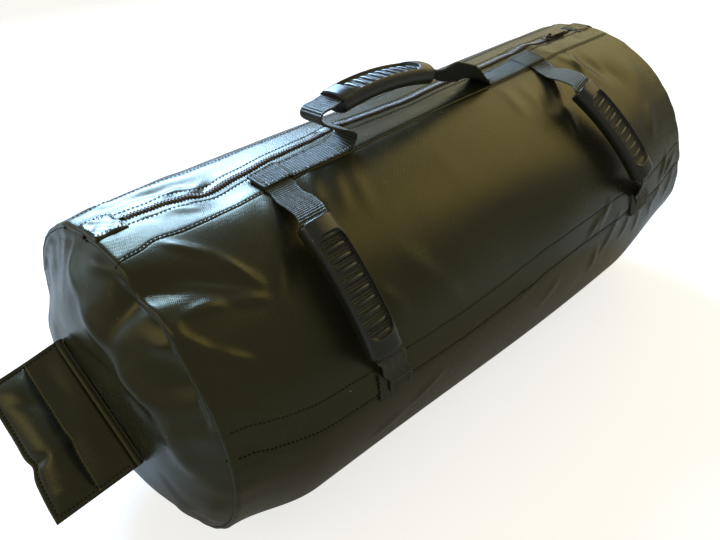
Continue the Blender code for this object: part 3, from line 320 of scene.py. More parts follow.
# How far the sewn lines stray from their even place, in degrees round the barrel.
LINE_STATIONS = (-0.305, -0.285, -0.267, -0.247, -0.227, -0.206, -0.177, -0.141, -0.105, -0.073, -0.050,
                 -0.020, 0.010, 0.050, 0.100, 0.180, 0.212, 0.228, 0.260, 0.305)
ZIP_STRAY = (1.5, 1.6, 1.0, 0.2, -0.9, -2.4, -1.6, -0.3, 0.0, 1.3, 0.8, 0.0, -0.7, -0.3, -0.5, -0.5,
             0.0, 0.0, 0.0, 0.2)
UPPER_STRAY = (-2.4, -1.6, 0.2, -0.8, -0.9, -0.7, 0.0, 0.4, 0.3, 0.4, 0.8, 0.9, 1.0, 0.9, 0.6, 0.9,
               1.2, 1.2, 1.0, 0.9)
LOWER_STRAY = (3.6, 2.4, 1.0, 0.3, -0.2, -0.8, -1.4, -1.7, -2.6, -3.3, -3.4, -3.3, -2.4, -1.0, -0.3,
               0.3, 0.2, 0.1, 0.2, 0.6)
ZIP_RISE = (1.6, 1.4, 0.6, -0.2, -0.9, -2.2, -1.4, -0.3, 0.2, 1.0, 0.6, 0.0, -0.6, 0.0, 0.2, 0.4, 0.6,
            0.9, 0.5, 0.0)


def stray(x, turn):
    """Radians that the cloth is shifted round the barrel: the zip's, upper and lower seam's own
    wander, eased from one line to the next and gone towards the back and the floor."""
    lines = [eased_table(x, LINE_STATIONS, values) for values in (LOWER_STRAY, UPPER_STRAY, ZIP_STRAY)]
    marks = (LOWER_SEAM - 0.75, LOWER_SEAM, UPPER_SEAM, np.pi / 2, np.pi / 2 + 0.75)
    values = [0.0 * lines[0], *lines, 0.0 * lines[0]]
    total = np.zeros(np.broadcast(x, turn).shape)
    for index in range(len(marks) - 1):
        share = ease((turn - marks[index]) / (marks[index + 1] - marks[index]))
        total = total + (values[index + 1] - values[index]) * share
    return np.radians(total)


# Broad swellings and hollows of the filled cloth: place along the bag (mm) and round it (degrees),
# half length and half width (mm), turn of the long side from the bag's length (degrees), height (mm).
SWELLS = (
    (-235, 105, 70, 24, 4, 4.6), (-120, 108, 60, 26, 0, 2.0), (205, 84, 62, 40, 0, 3.2),
    (60, 80, 80, 34, 0, 1.6), (-302, 65, 50, 13, -28, -9.0), (-246, 99, 36, 6, -3, -2.2),
    (-300, 34, 12, 20, 0, -3.6), (-205, 66, 30, 22, -60, 1.6), (-150, 14, 80, 34, 0, 1.4),
    (130, 20, 85, 40, 0, 2.2), (0, 20, 34, 60, 90, -2.2), (-206, 86, 22, 20, 10, -1.6),
    (-160, 62, 20, 12, 35, -1.2), (226, 60, 24, 12, -60, -2.4), (262, 52, 26, 18, 60, 1.8),
    (205, 66, 30, 7, -70, 2.0), (170, 70, 14, 8, -60, -1.6), (20, 55, 110, 60, 0, 1.0),
    (-40, 84, 40, 12, 0, -1.2), (120, 84, 30, 11, 0, -1.4), (60, 100, 60, 18, 0, 1.4),
    (-200, 150, 80, 50, 5, 2.5), (120, 155, 90, 55, -8, 3.0), (110, -46, 230, 38, 0, 8.0),
    (292, -16, 40, 34, 0, 5.0), (-20, 165, 40, 70, 80, -2.4), (60, 200, 90, 40, 5, 1.6),
    (250, 140, 34, 26, 30, -1.6), (-262, 170, 30, 26, -40, -1.4),
)
# Creases: both ends (mm, degrees), width (mm) and height (mm) of a ridge that fades towards its ends.
CREASES = (
    (-292, 64, -232, 47, 3.0, 0.9), (-299, 43, -284, 33, 2.6, 1.1), (-284, 34, -298, 22, 2.6, 1.2),
    (-270, 75, -240, 62, 4.2, 2.0), (-246, 65, -226, 47, 4.2, 2.4), (-226, 46, -258, 49, 4.4, 2.2),
    (-252, 48, -293, 51, 4.6, 2.4), (-291, 52, -298, 43, 5.0, 1.8), (-298, 47, -280, 35, 4.6, 2.4),
    (-285, 37, -256, 28, 5.0, 2.0), (-180, 75, -196, 57, 6.0, 1.3), (-194, 60, -231, 39, 7.0, 1.4),
    (-121, 41, -66, 12, 9.0, 1.5), (-150, 33, -128, 20, 6.0, 1.4), (-92, -8, -140, -18, 5.0, 1.3),
    (-134, -17, -180, -21, 5.0, 1.2), (-123, 82, -158, 58, 5.5, 0.9), (-110, 78, -140, 54, 6.0, 0.8),
    (-98, 77, -122, 50, 7.0, 0.6), (-148, 64, -155, 59, 2.6, -1.0), (220, 79, 192, 56, 4.5, 1.6),
    (232, 72, 226, 46, 6.0, 0.9), (98, 76, 86, 54, 7.0, 0.8), (118, 74, 112, 48, 7.0, 0.6),
    (136, 10, 102, 2, 4.0, 1.6), (150, 14, 120, 2, 4.0, 1.5), (166, 6, 136, -14, 4.0, 1.6),
    (190, 2, 172, -13, 4.0, 1.8), (205, 2, 208, -16, 4.0, 1.4), (226, 1, 240, -14, 4.0, 1.3),
    (267, 13, 244, 3, 3.4, 2.0), (290, 8, 244, 2, 3.6, 1.8), (256, 0, 226, -5, 3.6, 1.8),
    (288, 3, 262, -12, 4.0, 1.5), (128, -4, 131, -22, 5.0, 1.6), (34, 2, -4, -1, 5.0, 1.0),
    (70, -6, 40, -16, 6.0, 1.2), (163, 69, 142, 55, 4.0, 1.8), (146, 58, 128, 40, 5.0, 1.6),
    (-212, 98, -250, 92, 4.0, 1.6), (-262, 100, -236, 95, 3.6, 1.4), (-190, 97, -222, 88, 4.5, -1.6),
    (-276, 91, -252, 83, 4.0, -1.4), (-250, 88, -214, 80, 5.0, 1.2), (-52, 96, -84, 86, 4.0, 1.0),
    (-92, 95, -70, 84, 4.0, -0.9), (170, 96, 204, 84, 4.5, 1.2), (150, 97, 178, 85, 4.0, -1.0),
    (240, 98, 222, 94, 4.0, 0.8), (262, 86, 246, 78, 4.5, -0.9), (-298, 20, -240, 8, 6.0, 1.0),
    (-298, 10, -246, -6, 6.0, 0.9), (-298, 32, -256, 22, 6.0, 0.8), (262, 40, 236, 22, 7.0, 0.9),
    (-240, 130, -200, 108, 8.0, 1.2), (-130, 160, -60, 130, 9.0, 1.2), (-200, 185, -90, 172, 8.0, 1.0),
    (40, 140, 110, 168, 9.0, 1.4), (180, 120, 240, 160, 8.0, 1.4), (120, 190, 250, 180, 9.0, 1.0),
    (-280, 150, -230, 188, 7.0, 1.2), (-20, 120, 10, 170, 8.0, -1.4), (220, 172, 290, 150, 6.0, 1.0),
    (-290, 120, -262, 96, 6.0, 1.2),
)
chance = np.random.default_rng(27)
LUMPS = np.stack([chance.uniform(-0.3, 0.3, 150), chance.uniform(-0.5, 3.6, 150),
                  chance.uniform(0.010, 0.030, 150), chance.uniform(0.4, 1.0, 150),
                  chance.uniform(0.0, np.pi, 150),
                  chance.choice((-1.0, 1.0), 150) * chance.uniform(0.00010, 0.00030, 150)], axis=1)


def draw_waves(number, low, high, faintest):
    """Seeded waves round a rim, each with its count to a turn, its phase and its size."""
    return [(chance.integers(low, high), chance.uniform(0.0, 6.28), chance.uniform(faintest, 1.0))
            for wave in range(number)]


PUCKER_WAVES = draw_waves(9, 17, 46, 0.35)
PUCKER_HEIGHT, PUCKER_REACH = 0.00055, 0.020
CREASE_BOW, CREASE_FADE = 0.10, 1.05


def bell(along, across, slant, length, width):
    """1 in the middle and a Gaussian fall over length and width, the long side turned by slant."""
    first = (along * np.cos(slant) + across * np.sin(slant)) / length
    second = (across * np.cos(slant) - along * np.sin(slant)) / width
    return np.exp(-first ** 2 - second ** 2)


def ridge(along, across, run, rise, width, bow, fade):
    """1 on a line from 0, 0 to run, rise that bows by bow times its length, with a Gaussian fall
    over width to both sides, eased out at both ends."""
    length = np.hypot(run, rise)
    share = (along * run + across * rise) / length ** 2
    offset = (along * rise - across * run) / length + bow * length * (share - 0.5) ** 2
    return np.exp(-(offset / width) ** 2) * ease(fade + 0.1 - np.abs(2.0 * share - 1.0) * fade)


def rim_waves(waves, angle, shift):
    """A third of the sum of the waves' sines; shift makes the bag's two ends differ."""
    return sum(np.sin(angle * count + phase + shift) * size for count, phase, size in waves) / 3.0


def relief(x, turn):
    """Height of the cloth over the even barrel, in metres: the zip's rise, bell-shaped swellings,
    ridges along short lines, seeded light lumps, and radial waves that die away from the rims.
    The zip lies nearly even where the slider rests and where it stops."""
    along, round_about = x * 1000.0, BAG_RADIUS * turn * 1000.0
    total = eased_table(x, LINE_STATIONS, ZIP_RISE) * np.exp(-((turn - np.pi / 2) / 0.20) ** 2)
    for at, degrees, length, width, slant, height in SWELLS:
        across = round_about - BAG_RADIUS * np.radians(degrees) * 1000.0
        total = total + height * bell(along - at, across, np.radians(slant), length, width)
    for start, low, end, high, width, height in CREASES:
        low, high = (BAG_RADIUS * np.radians(value) * 1000.0 for value in (low, high))
        total = total + height * ridge(along - start, round_about - low, end - start, high - low,
                                       width, CREASE_BOW, CREASE_FADE)
    total = total / 1000.0
    for at, angle, length, narrow, slant, height in LUMPS:
        total = total + height * bell(x - at, (turn - angle) * BAG_RADIUS, slant, length, length * narrow)
    near_rim = np.exp((np.abs(x) - HALF_LENGTH) / PUCKER_REACH)
    total = total + PUCKER_HEIGHT * rim_waves(PUCKER_WAVES, turn, np.sign(x)) * near_rim
    stops = np.maximum(ease((x - 0.190) / 0.025), ease((-0.228 - x) / 0.020))
    total = total * (1.0 - 0.92 * stops * np.exp(-((turn - np.pi / 2) / 0.10) ** 2))
    return total * ease((turn + 1.25) / 0.45) * ease((3.95 - turn) / 0.55)


ROLL = 0.0040


def skin(x, turn, out=0.0):
    """A point of the cloth: the even barrel, strayed and with its relief, rolled in at the rims."""
    x, turn = np.broadcast_arrays(np.asarray(x, float), np.asarray(turn, float))
    inward = np.clip((np.abs(x) - HALF_LENGTH + ROLL) / ROLL, 0.0, 1.0)
    rolled = ROLL * 0.85 * (1.0 - np.sqrt(np.maximum(1.0 - inward ** 2, 0.0)))
    return round_form(x, turn + stray(x, turn), out + relief(x, turn) - rolled)


def build_mesh(points, corners, starts, flat, flat_faces=0):
    """A mesh from points, a list of corners and the place in it where each face starts. All but
    the last flat_faces are smooth. flat is the cloth's own plane, metres along and across, kept as
    the UV map named cloth."""
    mesh = bpy.data.meshes.new("piece")
    mesh.vertices.add(points.size // 3)
    mesh.vertices.foreach_set("co", points.reshape(-1).astype(np.float32))
    mesh.loops.add(len(corners))
    mesh.loops.foreach_set("vertex_index", corners.astype(np.int32))
    mesh.polygons.add(len(starts))
    mesh.polygons.foreach_set("loop_start", starts.astype(np.int32))
    mesh.polygons.foreach_set("use_smooth", np.arange(len(starts)) < len(starts) - flat_faces)
    mesh.update(calc_edges=True)
    if flat is not None:
        cloth = mesh.uv_layers.new(name="cloth")
        cloth.data.foreach_set("uv", flat.reshape(-1, 2)[corners].astype(np.float32).reshape(-1))
    return mesh


def grid_mesh(points, flat, wrap=False, inward=False):
    """A sheet over a grid of points, rows by columns; wrap joins the last column to the first, and
    one flat face then closes the first row."""
    rows, columns = points.shape[:2]
    row, column = np.meshgrid(np.arange(rows - 1), np.arange(columns - (not wrap)), indexing="ij")
    beside = (column + 1) % columns
    quads = np.stack([row * columns + column, row * columns + beside,
                      (row + 1) * columns + beside, (row + 1) * columns + column], axis=-1).reshape(-1, 4)
    pole = np.arange(columns)[::-1] if wrap else np.zeros(0, int)
    if inward:
        quads, pole = quads[:, ::-1], pole[::-1]
    starts = np.arange(0, quads.size + min(len(pole), 1), 4)
    return build_mesh(points, np.concatenate([quads.reshape(-1), pole]), starts, flat)


def add_piece(name, mesh, finish, body, slot, *nodes):
    """The mesh becomes a piece of the bag that rides on a body and stands for the nodes it names."""
    mesh.name = name
    mesh.materials.append(finish.material)
    piece = bpy.data.objects.new(name, mesh)
    bpy.context.scene.collection.objects.link(piece)
    if body:
        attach(piece, body)
    if nodes:
        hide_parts(*nodes)
    return piece


def thicken(piece, thickness):
    """The sheet grows inwards by the cloth's thickness."""
    solid = piece.modifiers.new("thickness", "SOLIDIFY")
    solid.thickness = thickness
    solid.offset = -1.0


def sewn_rows(low, high, step, lines):
    """Places across a panel, in metres round the barrel: even steps, and close rows at sewn lines."""
    even = np.linspace(low, high, int((high - low) / step) + 1)
    shifts = (-0.0018, -0.0009, -0.0004, 0.0, 0.0004, 0.0009, 0.0018)
    close = [line + shift for line in lines for shift in shifts]
    rows = np.unique(np.concatenate([even, np.clip(close, low, high)]))
    return rows[np.concatenate([[True], np.diff(rows) > 0.00025])]


SEAM_LIFT = 0.0006          # a lapped edge stands this far over its neighbour
STITCH_INSET = 0.0010       # from a folded edge to its row of stitches


def panel_rows(low, high, low_edge, high_edge, lines, step):
    """Rows of a panel with the height of each: a folded edge stands over its neighbour and turns
    down round its lip, a tucked edge runs on under it, and every sewn line sits in a groove."""
    rows = sewn_rows(low, high, step, lines)
    height = np.zeros_like(rows)
    for line in lines:
        height = height - 0.00025 * np.exp(-((rows - line) / 0.0009) ** 2)
    for edge, place_at, sign in ((low_edge, low, 1.0), (high_edge, high, -1.0)):
        inside = (rows - place_at) * sign
        if edge == "folded":
            height = height + SEAM_LIFT * (1.0 - ease(inside / 0.016))
        if edge == "tucked":
            height = height - 0.0012 * (1.0 - ease((inside - 0.0028) / 0.0020))
    reach, drop = np.array(((0.0005, 0.0008, 0.0007, 0.0002), (-0.0002, -0.0007, -0.0013, -0.0017)))
    if low_edge == "folded":
        rows = np.concatenate([(low - reach)[::-1], rows])
        height = np.concatenate([(height[0] + drop)[::-1], height])
    if high_edge == "folded":
        rows = np.concatenate([rows, high + reach])
        height = np.concatenate([height, height[-1] + drop])
    return rows, height


ROW_STEP, HIDDEN_ROW_STEP = 0.0021, 0.0034


def barrel_stations():
    """Stations along the barrel: even, and closer where it rolls into the rim seams."""
    even = np.linspace(-HALF_LENGTH + ROLL, HALF_LENGTH - ROLL, int(2.0 * HALF_LENGTH / ROW_STEP))
    rim = HALF_LENGTH - ROLL * np.array([0.75, 0.50, 0.30, 0.14, 0.04, 0.0])
    return np.concatenate([-rim[::-1], even, rim])


# Each panel's low and high edge in metres round the barrel from the front, how each edge is made,
# and its sewn lines. The front ones are made again, mirrored, at the back.
ZIP_EDGE = BAG_RADIUS * np.pi / 2 - 0.0029
UPPER_LINE, LOWER_LINE = BAG_RADIUS * UPPER_SEAM, BAG_RADIUS * LOWER_SEAM
TUCK = 0.004
ZIP_SEWING, SECOND_SEWING = ZIP_EDGE - 0.0070, LOWER_LINE + 0.0245
PANELS = {
    "front_flange": (UPPER_LINE, ZIP_EDGE, "folded", "folded", (UPPER_LINE + STITCH_INSET, ZIP_SEWING)),
    "front_panel": (LOWER_LINE, UPPER_LINE + TUCK, "folded", "tucked",
                    (LOWER_LINE + STITCH_INSET, SECOND_SEWING)),
    "bottom_panel": (-BAG_RADIUS * np.pi - LOWER_LINE - TUCK, LOWER_LINE + TUCK, "tucked", "tucked", ()),
}
stations = barrel_stations()
for name, panel in PANELS.items():
    hidden = name == "bottom_panel"
    rows, height = panel_rows(*panel, HIDDEN_ROW_STEP if hidden else ROW_STEP)
    turn = rows / BAG_RADIUS
    for side, label in ((1, name), (-1, name.replace("front", "back")))[:1 if hidden else 2]:
        points = skin(stations[:, None], (turn if side > 0 else np.pi - turn)[None, :], height[None, :])
        mesh = grid_mesh(points, stacked(stations[:, None], rows[None, :]), inward=side > 0)
        thicken(add_piece(label + "_cloth", mesh, vinyl, "bag", "vinyl", label), FABRIC)


# The end caps: round discs of the same fabric, sewn into the barrel's rims. The filler bags push
# them out, and the cloth falls in long slack folds between the rim and the flap sewn on it.
CAP_BULGE = 0.025
CAP_FLAT_SHARE = 0.46
CAP_MIDDLE = 0.1395
CAP_FOLD_BOW, CAP_FOLD_FADE = 0.22, 1.1
CAP_FOLDS = (
    # from and to, mm across (+Y) and up from the cap's middle, width and height in mm
    (20, 118, -12, 93, 9.0, 3.0), (-4, 99, -48, 62, 9.0, 4.0), (-42, 67, -92, 31, 9.0, 4.0),
    (-86, 36, -118, -20, 9.0, 3.0), (-132, 30, -34, 134, 21.0, -9.0), (12, 130, 134, 8, 25.0, -9.0),
    (-104, -88, 66, -122, 24.0, -8.0), (32, 38, -56, 43, 9.0, -2.4), (-50, 42, -84, 30, 8.0, -2.0),
    (0, 114, -58, 128, 6.0, 2.2), (-58, 84, -118, 74, 7.0, 3.2), (-58, 108, -84, 98, 8.0, 2.0),
    (-36, 106, -58, 100, 6.0, -1.6), (-118, -20, -92, -88, 7.0, 2.0), (-100, -70, -40, -112, 7.0, 1.8),
    (-84, -40, -60, -105, 6.0, 1.6), (20, -70, 70, -92, 8.0, 1.6), (50, 100, 84, 62, 8.0, 1.8),
    (90, 40, 118, -20, 8.0, 1.8), (100, -40, 60, -100, 8.0, 1.6), (30, 60, 70, 20, 10.0, -1.6),
    (-70, -20, -90, -60, 6.0, -1.4), (-10, -80, 10, -118, 7.0, 1.4),
)
CAP_WAVES = draw_waves(7, 13, 38, 0.4)


def cap_relief(side, across, up, share, angle):
    """How far the slack cloth stands out: ridges along lines, and radial waves close to the rim."""
    total = 1.1 * rim_waves(CAP_WAVES, angle, side) * np.exp(-((1.0 - share) / 0.16) ** 2)
    for from_y, from_z, to_y, to_z, width, height in CAP_FOLDS:
        total = total + height * ridge(across * 1000.0 - from_y, up * 1000.0 - from_z, to_y - from_y,
                                       to_z - from_z, width, side * CAP_FOLD_BOW, CAP_FOLD_FADE)
    return total / 1000.0 * ease((1.0 - share) / 0.06)


def cap_point(side, share, angle):
    """A disc point: share 0 is the middle and 1 the rim; flat inside CAP_FLAT_SHARE, then rounded
    back to the rim, with the folds added along the bag."""
    rim = skin(side * HALF_LENGTH, angle)
    middle = np.array((0.0, 0.0, CAP_MIDDLE))
    flat = middle + (rim - middle) * share[..., None] * np.array((0.0, 1.0, 1.0))
    fall = np.clip(share - CAP_FLAT_SHARE, 0.0, None) / (1.0 - CAP_FLAT_SHARE)
    bulge = CAP_BULGE * (1.0 - fall ** 2.4)
    over = bulge + cap_relief(side, flat[..., 1], flat[..., 2] - middle[2], share, angle)
    return stacked(side * (HALF_LENGTH - 0.0006 + over), flat[..., 1], flat[..., 2])


cap_shares = 1.0 - (1.0 - np.linspace(0.0, 1.0, 90)) ** 1.25
cap_angles = np.linspace(0.0, 2.0 * np.pi, 240, endpoint=False)
cap_angles = np.where(cap_angles > 1.5 * np.pi - 0.20, cap_angles - 2.0 * np.pi, cap_angles)
for side, label in ((-1.0, "left"), (1.0, "right")):
    share, angle = np.broadcast_arrays(cap_shares[1:, None], cap_angles[None, :])
    points = cap_point(side, share, angle)
    mesh = grid_mesh(points, points[..., 1:], wrap=True, inward=side < 0.0)
    thicken(add_piece(label + "_cap_cloth", mesh, vinyl, "bag", "vinyl", label + "_end_cap"), FABRIC)


# Stitching: rows of black bonded thread. Each stitch is a short arched dash whose ends sink into
# the needle holes. The rows follow the folded edges of the flanges and the lapped seams.
def tubes_mesh(rings, flat=None):
    """A mesh of separate tubes from rings[tube, ring, side]: each ring's points are joined to the
    next ring's, and flat faces close both ends. The order of the sides is turned round where it
    would give a negative volume."""
    middle = rings - rings.mean(axis=(1, 2), keepdims=True)
    beside, after = np.roll(middle, -1, axis=2)[:, :-1], middle[:, 1:]
    if (np.cross(middle[:, :-1], beside) * after).sum() < 0.0:
        rings = rings[:, :, ::-1]
        flat = None if flat is None else flat[:, :, ::-1]
    tubes, count, sides = rings.shape[:3]
    tube, ring, side = np.meshgrid(np.arange(tubes), np.arange(count - 1), np.arange(sides), indexing="ij")
    base, beside = (tube * count + ring) * sides, (side + 1) % sides
    walls = np.stack([base + side, base + beside, base + sides + beside, base + sides + side], axis=-1)
    first = np.arange(tubes)[:, None] * count * sides + np.arange(sides)[None, ::-1]
    last = first[:, ::-1] + (count - 1) * sides
    corners = np.concatenate([walls.reshape(-1), first.reshape(-1), last.reshape(-1)])
    starts = np.concatenate([np.arange(0, walls.size, 4), walls.size + np.arange(2 * tubes) * sides])
    return build_mesh(rings, corners, starts, flat, 2 * tubes)


def along_line(line, distances):
    """Points of a polyline at distances along it; the rows of line may hold more than x, y, z."""
    steps = np.linalg.norm(np.diff(line[:, :3], axis=0), axis=1)
    travelled = np.concatenate([[0.0], np.cumsum(steps)])
    columns = [np.interp(distances, travelled, line[:, column]) for column in range(line.shape[1])]
    return np.stack(columns, axis=1)


def unit(vectors):
    return vectors / np.maximum(np.linalg.norm(vectors, axis=-1, keepdims=True), 1e-12)


def round_section(width, normal):
    """Five directions round a thread, in the plane of its width and normal directions."""
    angle = np.arange(5)[:, None] * 2.0 * np.pi / 5.0
    return width[:, None] * np.cos(angle) + normal[:, None] * np.sin(angle)


THREAD, FINE_THREAD = 0.00042, 0.0003
DASH_SHARES = np.array((-1.0, -0.72, 0.0, 0.72, 1.0))
DASH_SIZES = np.array((0.45, 0.92, 1.0, 0.92, 0.45))
DASH_LIFTS = np.array((-1.3, 0.15, 0.75, 0.15, -1.3))


def stitch_rings(line, normals, pitch=0.0034, thread=THREAD):
    """Rings of the dashes along a line: each dash is 62% of the pitch, arched over its middle."""
    whole = np.linalg.norm(np.diff(line, axis=0), axis=1).sum()
    places = np.arange(pitch / 2.0, whole, pitch)
    both = np.concatenate([line, normals], axis=1)
    middle = along_line(both, places)
    ahead = along_line(both, np.minimum(places + 0.0006, whole)) - along_line(both, places - 0.0006)
    tangent, normal = unit(ahead[:, :3]), unit(middle[:, 3:])
    reach = (1.0 + 0.10 * np.sin(places * 7919.0))[:, None] * DASH_SHARES * pitch * 0.62 / 2.0
    centre = middle[:, None, :3] + tangent[:, None] * reach[..., None]
    centre = centre + normal[:, None] * (DASH_LIFTS * thread)[:, None]
    spread = round_section(unit(np.cross(normal, tangent)), normal)
    return centre[:, :, None] + spread[:, None] * (DASH_SIZES * thread)[:, None, None]


def radial(turn):
    """Outward direction of the barrel."""
    return stacked(0.0, -np.cos(turn), np.sin(turn))


def thread_finish(name, colour):
    """Twisted thread: two plies as a fine slanting bump, a little paler where it has rubbed."""
    made = Finish(name, colour, 0.7, 0.15)
    made.feed("Base Color", made.clouded(made.texture("Noise", 70.0)["Fac"], 0.6, 1.9))
    made.bump(made.texture("Noise", 1900.0)["Fac"], 0.6, 0.0002)
    return made


def add_threads(name, groups, finish, body, slot):
    """One piece of all the threads whose rings the groups give."""
    add_piece(name, tubes_mesh(np.concatenate(groups)), finish, body, slot)


black_thread = thread_finish("black_thread", (0.012, 0.012, 0.010))
line_x = np.linspace(-HALF_LENGTH + 0.006, HALF_LENGTH - 0.006, 700)
groups = []
for distance, lift, thread in ((UPPER_LINE + STITCH_INSET, 0.0007, THREAD), (ZIP_SEWING, 0.0004, THREAD),
                               (LOWER_LINE + STITCH_INSET, 0.0007, THREAD),
                               (SECOND_SEWING, -0.0001, FINE_THREAD)):
    for turn in (distance / BAG_RADIUS, np.pi - distance / BAG_RADIUS):
        turn = np.full_like(line_x, turn)
        groups.append(stitch_rings(skin(line_x, turn, lift), radial(turn), thread=thread))
add_threads("barrel_stitches", groups, black_thread, "bag", "vinyl")


# The zip: a coarse moulded chain on two woven tapes. The tapes are sewn under the flanges' folded
# edges, so only the chain and a sliver of tape show between them.
def woven_finish(name, colour, roughness, rib, cord, depth, sheen=0.25, crown_highlight_gain=1.6):
    """Woven nylon: rounded ribs across, each crossed by cords that lean over it, as bump; painted shade
    darkens the colour between the cords and a painted highlight lightens the crowns."""
    made = Finish(name, colour, roughness, 0.45)
    made.set("Specular Tint", (1.0, 0.95, 0.78, 1.0))
    made.set("Sheen Weight", sheen)
    made.set("Sheen Roughness", 0.4)
    flat = made.node("ShaderNodeUVMap", uv_map="cloth").outputs["UV"]
    parts = made.node("ShaderNodeSeparateXYZ", [("Vector", flat)]).outputs
    lean = made.math("MULTIPLY_ADD", parts["X"], 0.55, parts["Y"])
    waves = [made.math("ABSOLUTE", made.math("SINE", made.math("MULTIPLY", way, np.pi / pitch)))
             for way, pitch in ((parts["X"], rib), (lean, cord))]
    height = made.math("MULTIPLY_ADD", waves[0], 0.6, made.math("MULTIPLY", waves[1], 0.5))
    # The rib and cord height drives the colour: painted shade in the grooves, painted highlight on the
    # crowns.
    crown = [("Value", height), ("From Min", 0.35), ("From Max", 0.95)]
    crown = made.node("ShaderNodeMapRange", crown).outputs[0]
    crown_highlight_noise = made.math("MULTIPLY_ADD", made.texture("Noise", 60.0, Detail=4.0)["Fac"], 0.9, 0.1)
    # From 0.25 times the colour in the grooves (painted shade) up to the gain times it on the crowns
    # (painted highlight), varied by a noise.
    made.feed("Base Color", made.clouded(made.math("MULTIPLY", crown, crown_highlight_noise), 0.25, crown_highlight_gain))
    fluff = made.texture("Noise", 900.0, Detail=3.0)["Fac"]
    made.feed("Roughness", made.math("MULTIPLY_ADD", fluff, 0.6, roughness - 0.32))
    made.bump(made.math("MULTIPLY_ADD", fluff, 0.35, height), 0.9, depth)
    return made


ZIP_LEFT, ZIP_RIGHT = -0.270, 0.268
# The tape's colour has painted shade in its grooves and a painted highlight on its crowns.
tape_cloth = woven_finish("zip_tape_weave", (0.020, 0.019, 0.016), 0.8, 0.0011, 0.0008, 0.0003)
tape_x = np.linspace(ZIP_LEFT - 0.004, ZIP_RIGHT + 0.004, 270)
for label, sign in (("front", -1.0), ("back", 1.0)):
    across = np.array((0.0004, 0.0014, 0.0024, 0.0036, 0.0056, 0.0090, 0.0130))
    height = np.array((-0.0009, -0.0006, -0.0008, -0.0012, -0.0018, -0.0022, -0.0022))
    points = skin(tape_x[:, None], (np.pi / 2 + sign * across / BAG_RADIUS)[None, :], height[None, :])
    mesh = grid_mesh(points, stacked(tape_x[:, None], across[None, :]), inward=sign > 0.0)
    tape = add_piece("zip_tape_%s_weave" % label, mesh, tape_cloth, "bag", "zip_tape", "zip_tape_" + label)
    thicken(tape, 0.0007)

chain_moulding = Finish("zip_chain_moulding", (0.040, 0.026, 0.014), 0.38)
rubbed = chain_moulding.texture("Noise", 140.0, Detail=3.0)["Fac"]
chain_moulding.feed("Base Color", chain_moulding.mix(rubbed, (0.035, 0.024, 0.013), (0.16, 0.11, 0.06)))
chain_moulding.bump(rubbed, 0.3, 0.0002)


def signed_power(value, power):
    """The power of the value's size, with the value's sign."""
    return np.sign(value) * np.abs(value) ** power


# A tooth is a rounded bar across its row: a superellipse section that swells at the hooked tip.
TOOTH_PITCH = 0.0026
tooth_reach = np.array((0.0029, 0.0026, 0.0010, 0.0002, -0.0005, -0.0008))[:, None]
tooth_half = np.array((0.40, 0.62, 0.50, 0.62, 0.66, 0.22))[:, None] * TOOTH_PITCH / 2.0
tooth_tall = np.array((0.0005, 0.0010, 0.0011, 0.0011, 0.0010, 0.0004))[:, None]
angle = np.arange(6) * np.pi / 3.0 + np.pi / 6.0
for label, sign, shift in (("front", -1.0, 0.0), ("back", 1.0, 0.5)):
    at = np.arange(ZIP_LEFT + shift * TOOTH_PITCH, ZIP_RIGHT, TOOTH_PITCH)[:, None, None]
    x = at + tooth_half * signed_power(np.cos(angle), 0.7)
    turn = np.pi / 2 + sign * tooth_reach / BAG_RADIUS + 0.0 * x
    out = 0.0011 + tooth_tall * signed_power(np.sin(angle), 0.7) + 0.0 * x
    add_piece("zip_teeth_%s_chain" % label, tubes_mesh(skin(x, turn, out)), chain_moulding,
              "bag", "zip_teeth", "zip_teeth_" + label)


# The slider and its tab: dark plated castings. The body straddles the chain with a bridge on top,
# and the tab hangs on the bridge by its eye and lies back along the chain.
# The plating is clouded in its gloss, and small patches are rubbed to the pale metal.
plated = Finish("dark_plated_metal", (0.10, 0.092, 0.080), 0.36)
plated.set("Metallic", 1.0)
cloud = plated.texture("Noise", 240.0, Detail=5.0, Roughness=0.7)["Fac"]
bare = [("Value", cloud), ("From Min", 0.60), ("From Max", 0.72)]
bare = plated.node("ShaderNodeMapRange", bare).outputs[0]
plated.feed("Base Color", plated.mix(bare, plated.colour, (0.36, 0.34, 0.30)))
plated.feed("Roughness", plated.math("MULTIPLY_ADD", cloud, 0.3, 0.24))
plated.bump(cloud, 0.25, 0.00015)
for node in ("zip_slider", "zip_pull_tab"):
    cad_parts[node].data.materials.clear()
    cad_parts[node].data.materials.append(plated.material)


# The folded tabs over both ends of the zip: a patch of the coated fabric, turned in all round and
# sewn down with a row near its edge. Cut thread ends fray out of the left one.
def on_cloth(points):
    """Moves points near the even barrel by what the cloth under them moved, fading with height."""
    turn = np.arctan2(points[..., 2] - AXIS_HEIGHT, -points[..., 1])
    shift = skin(points[..., 0], turn) - round_form(points[..., 0], turn, 0.0)
    height = np.hypot(points[..., 1], points[..., 2] - AXIS_HEIGHT) - BAG_RADIUS
    return points + shift * (1.0 - ease(height / 0.016))[..., None]


TAB_HALF, TAB_ROUNDING, TAB_INSET = 0.0135 / BAG_RADIUS, 0.0022, 0.0028


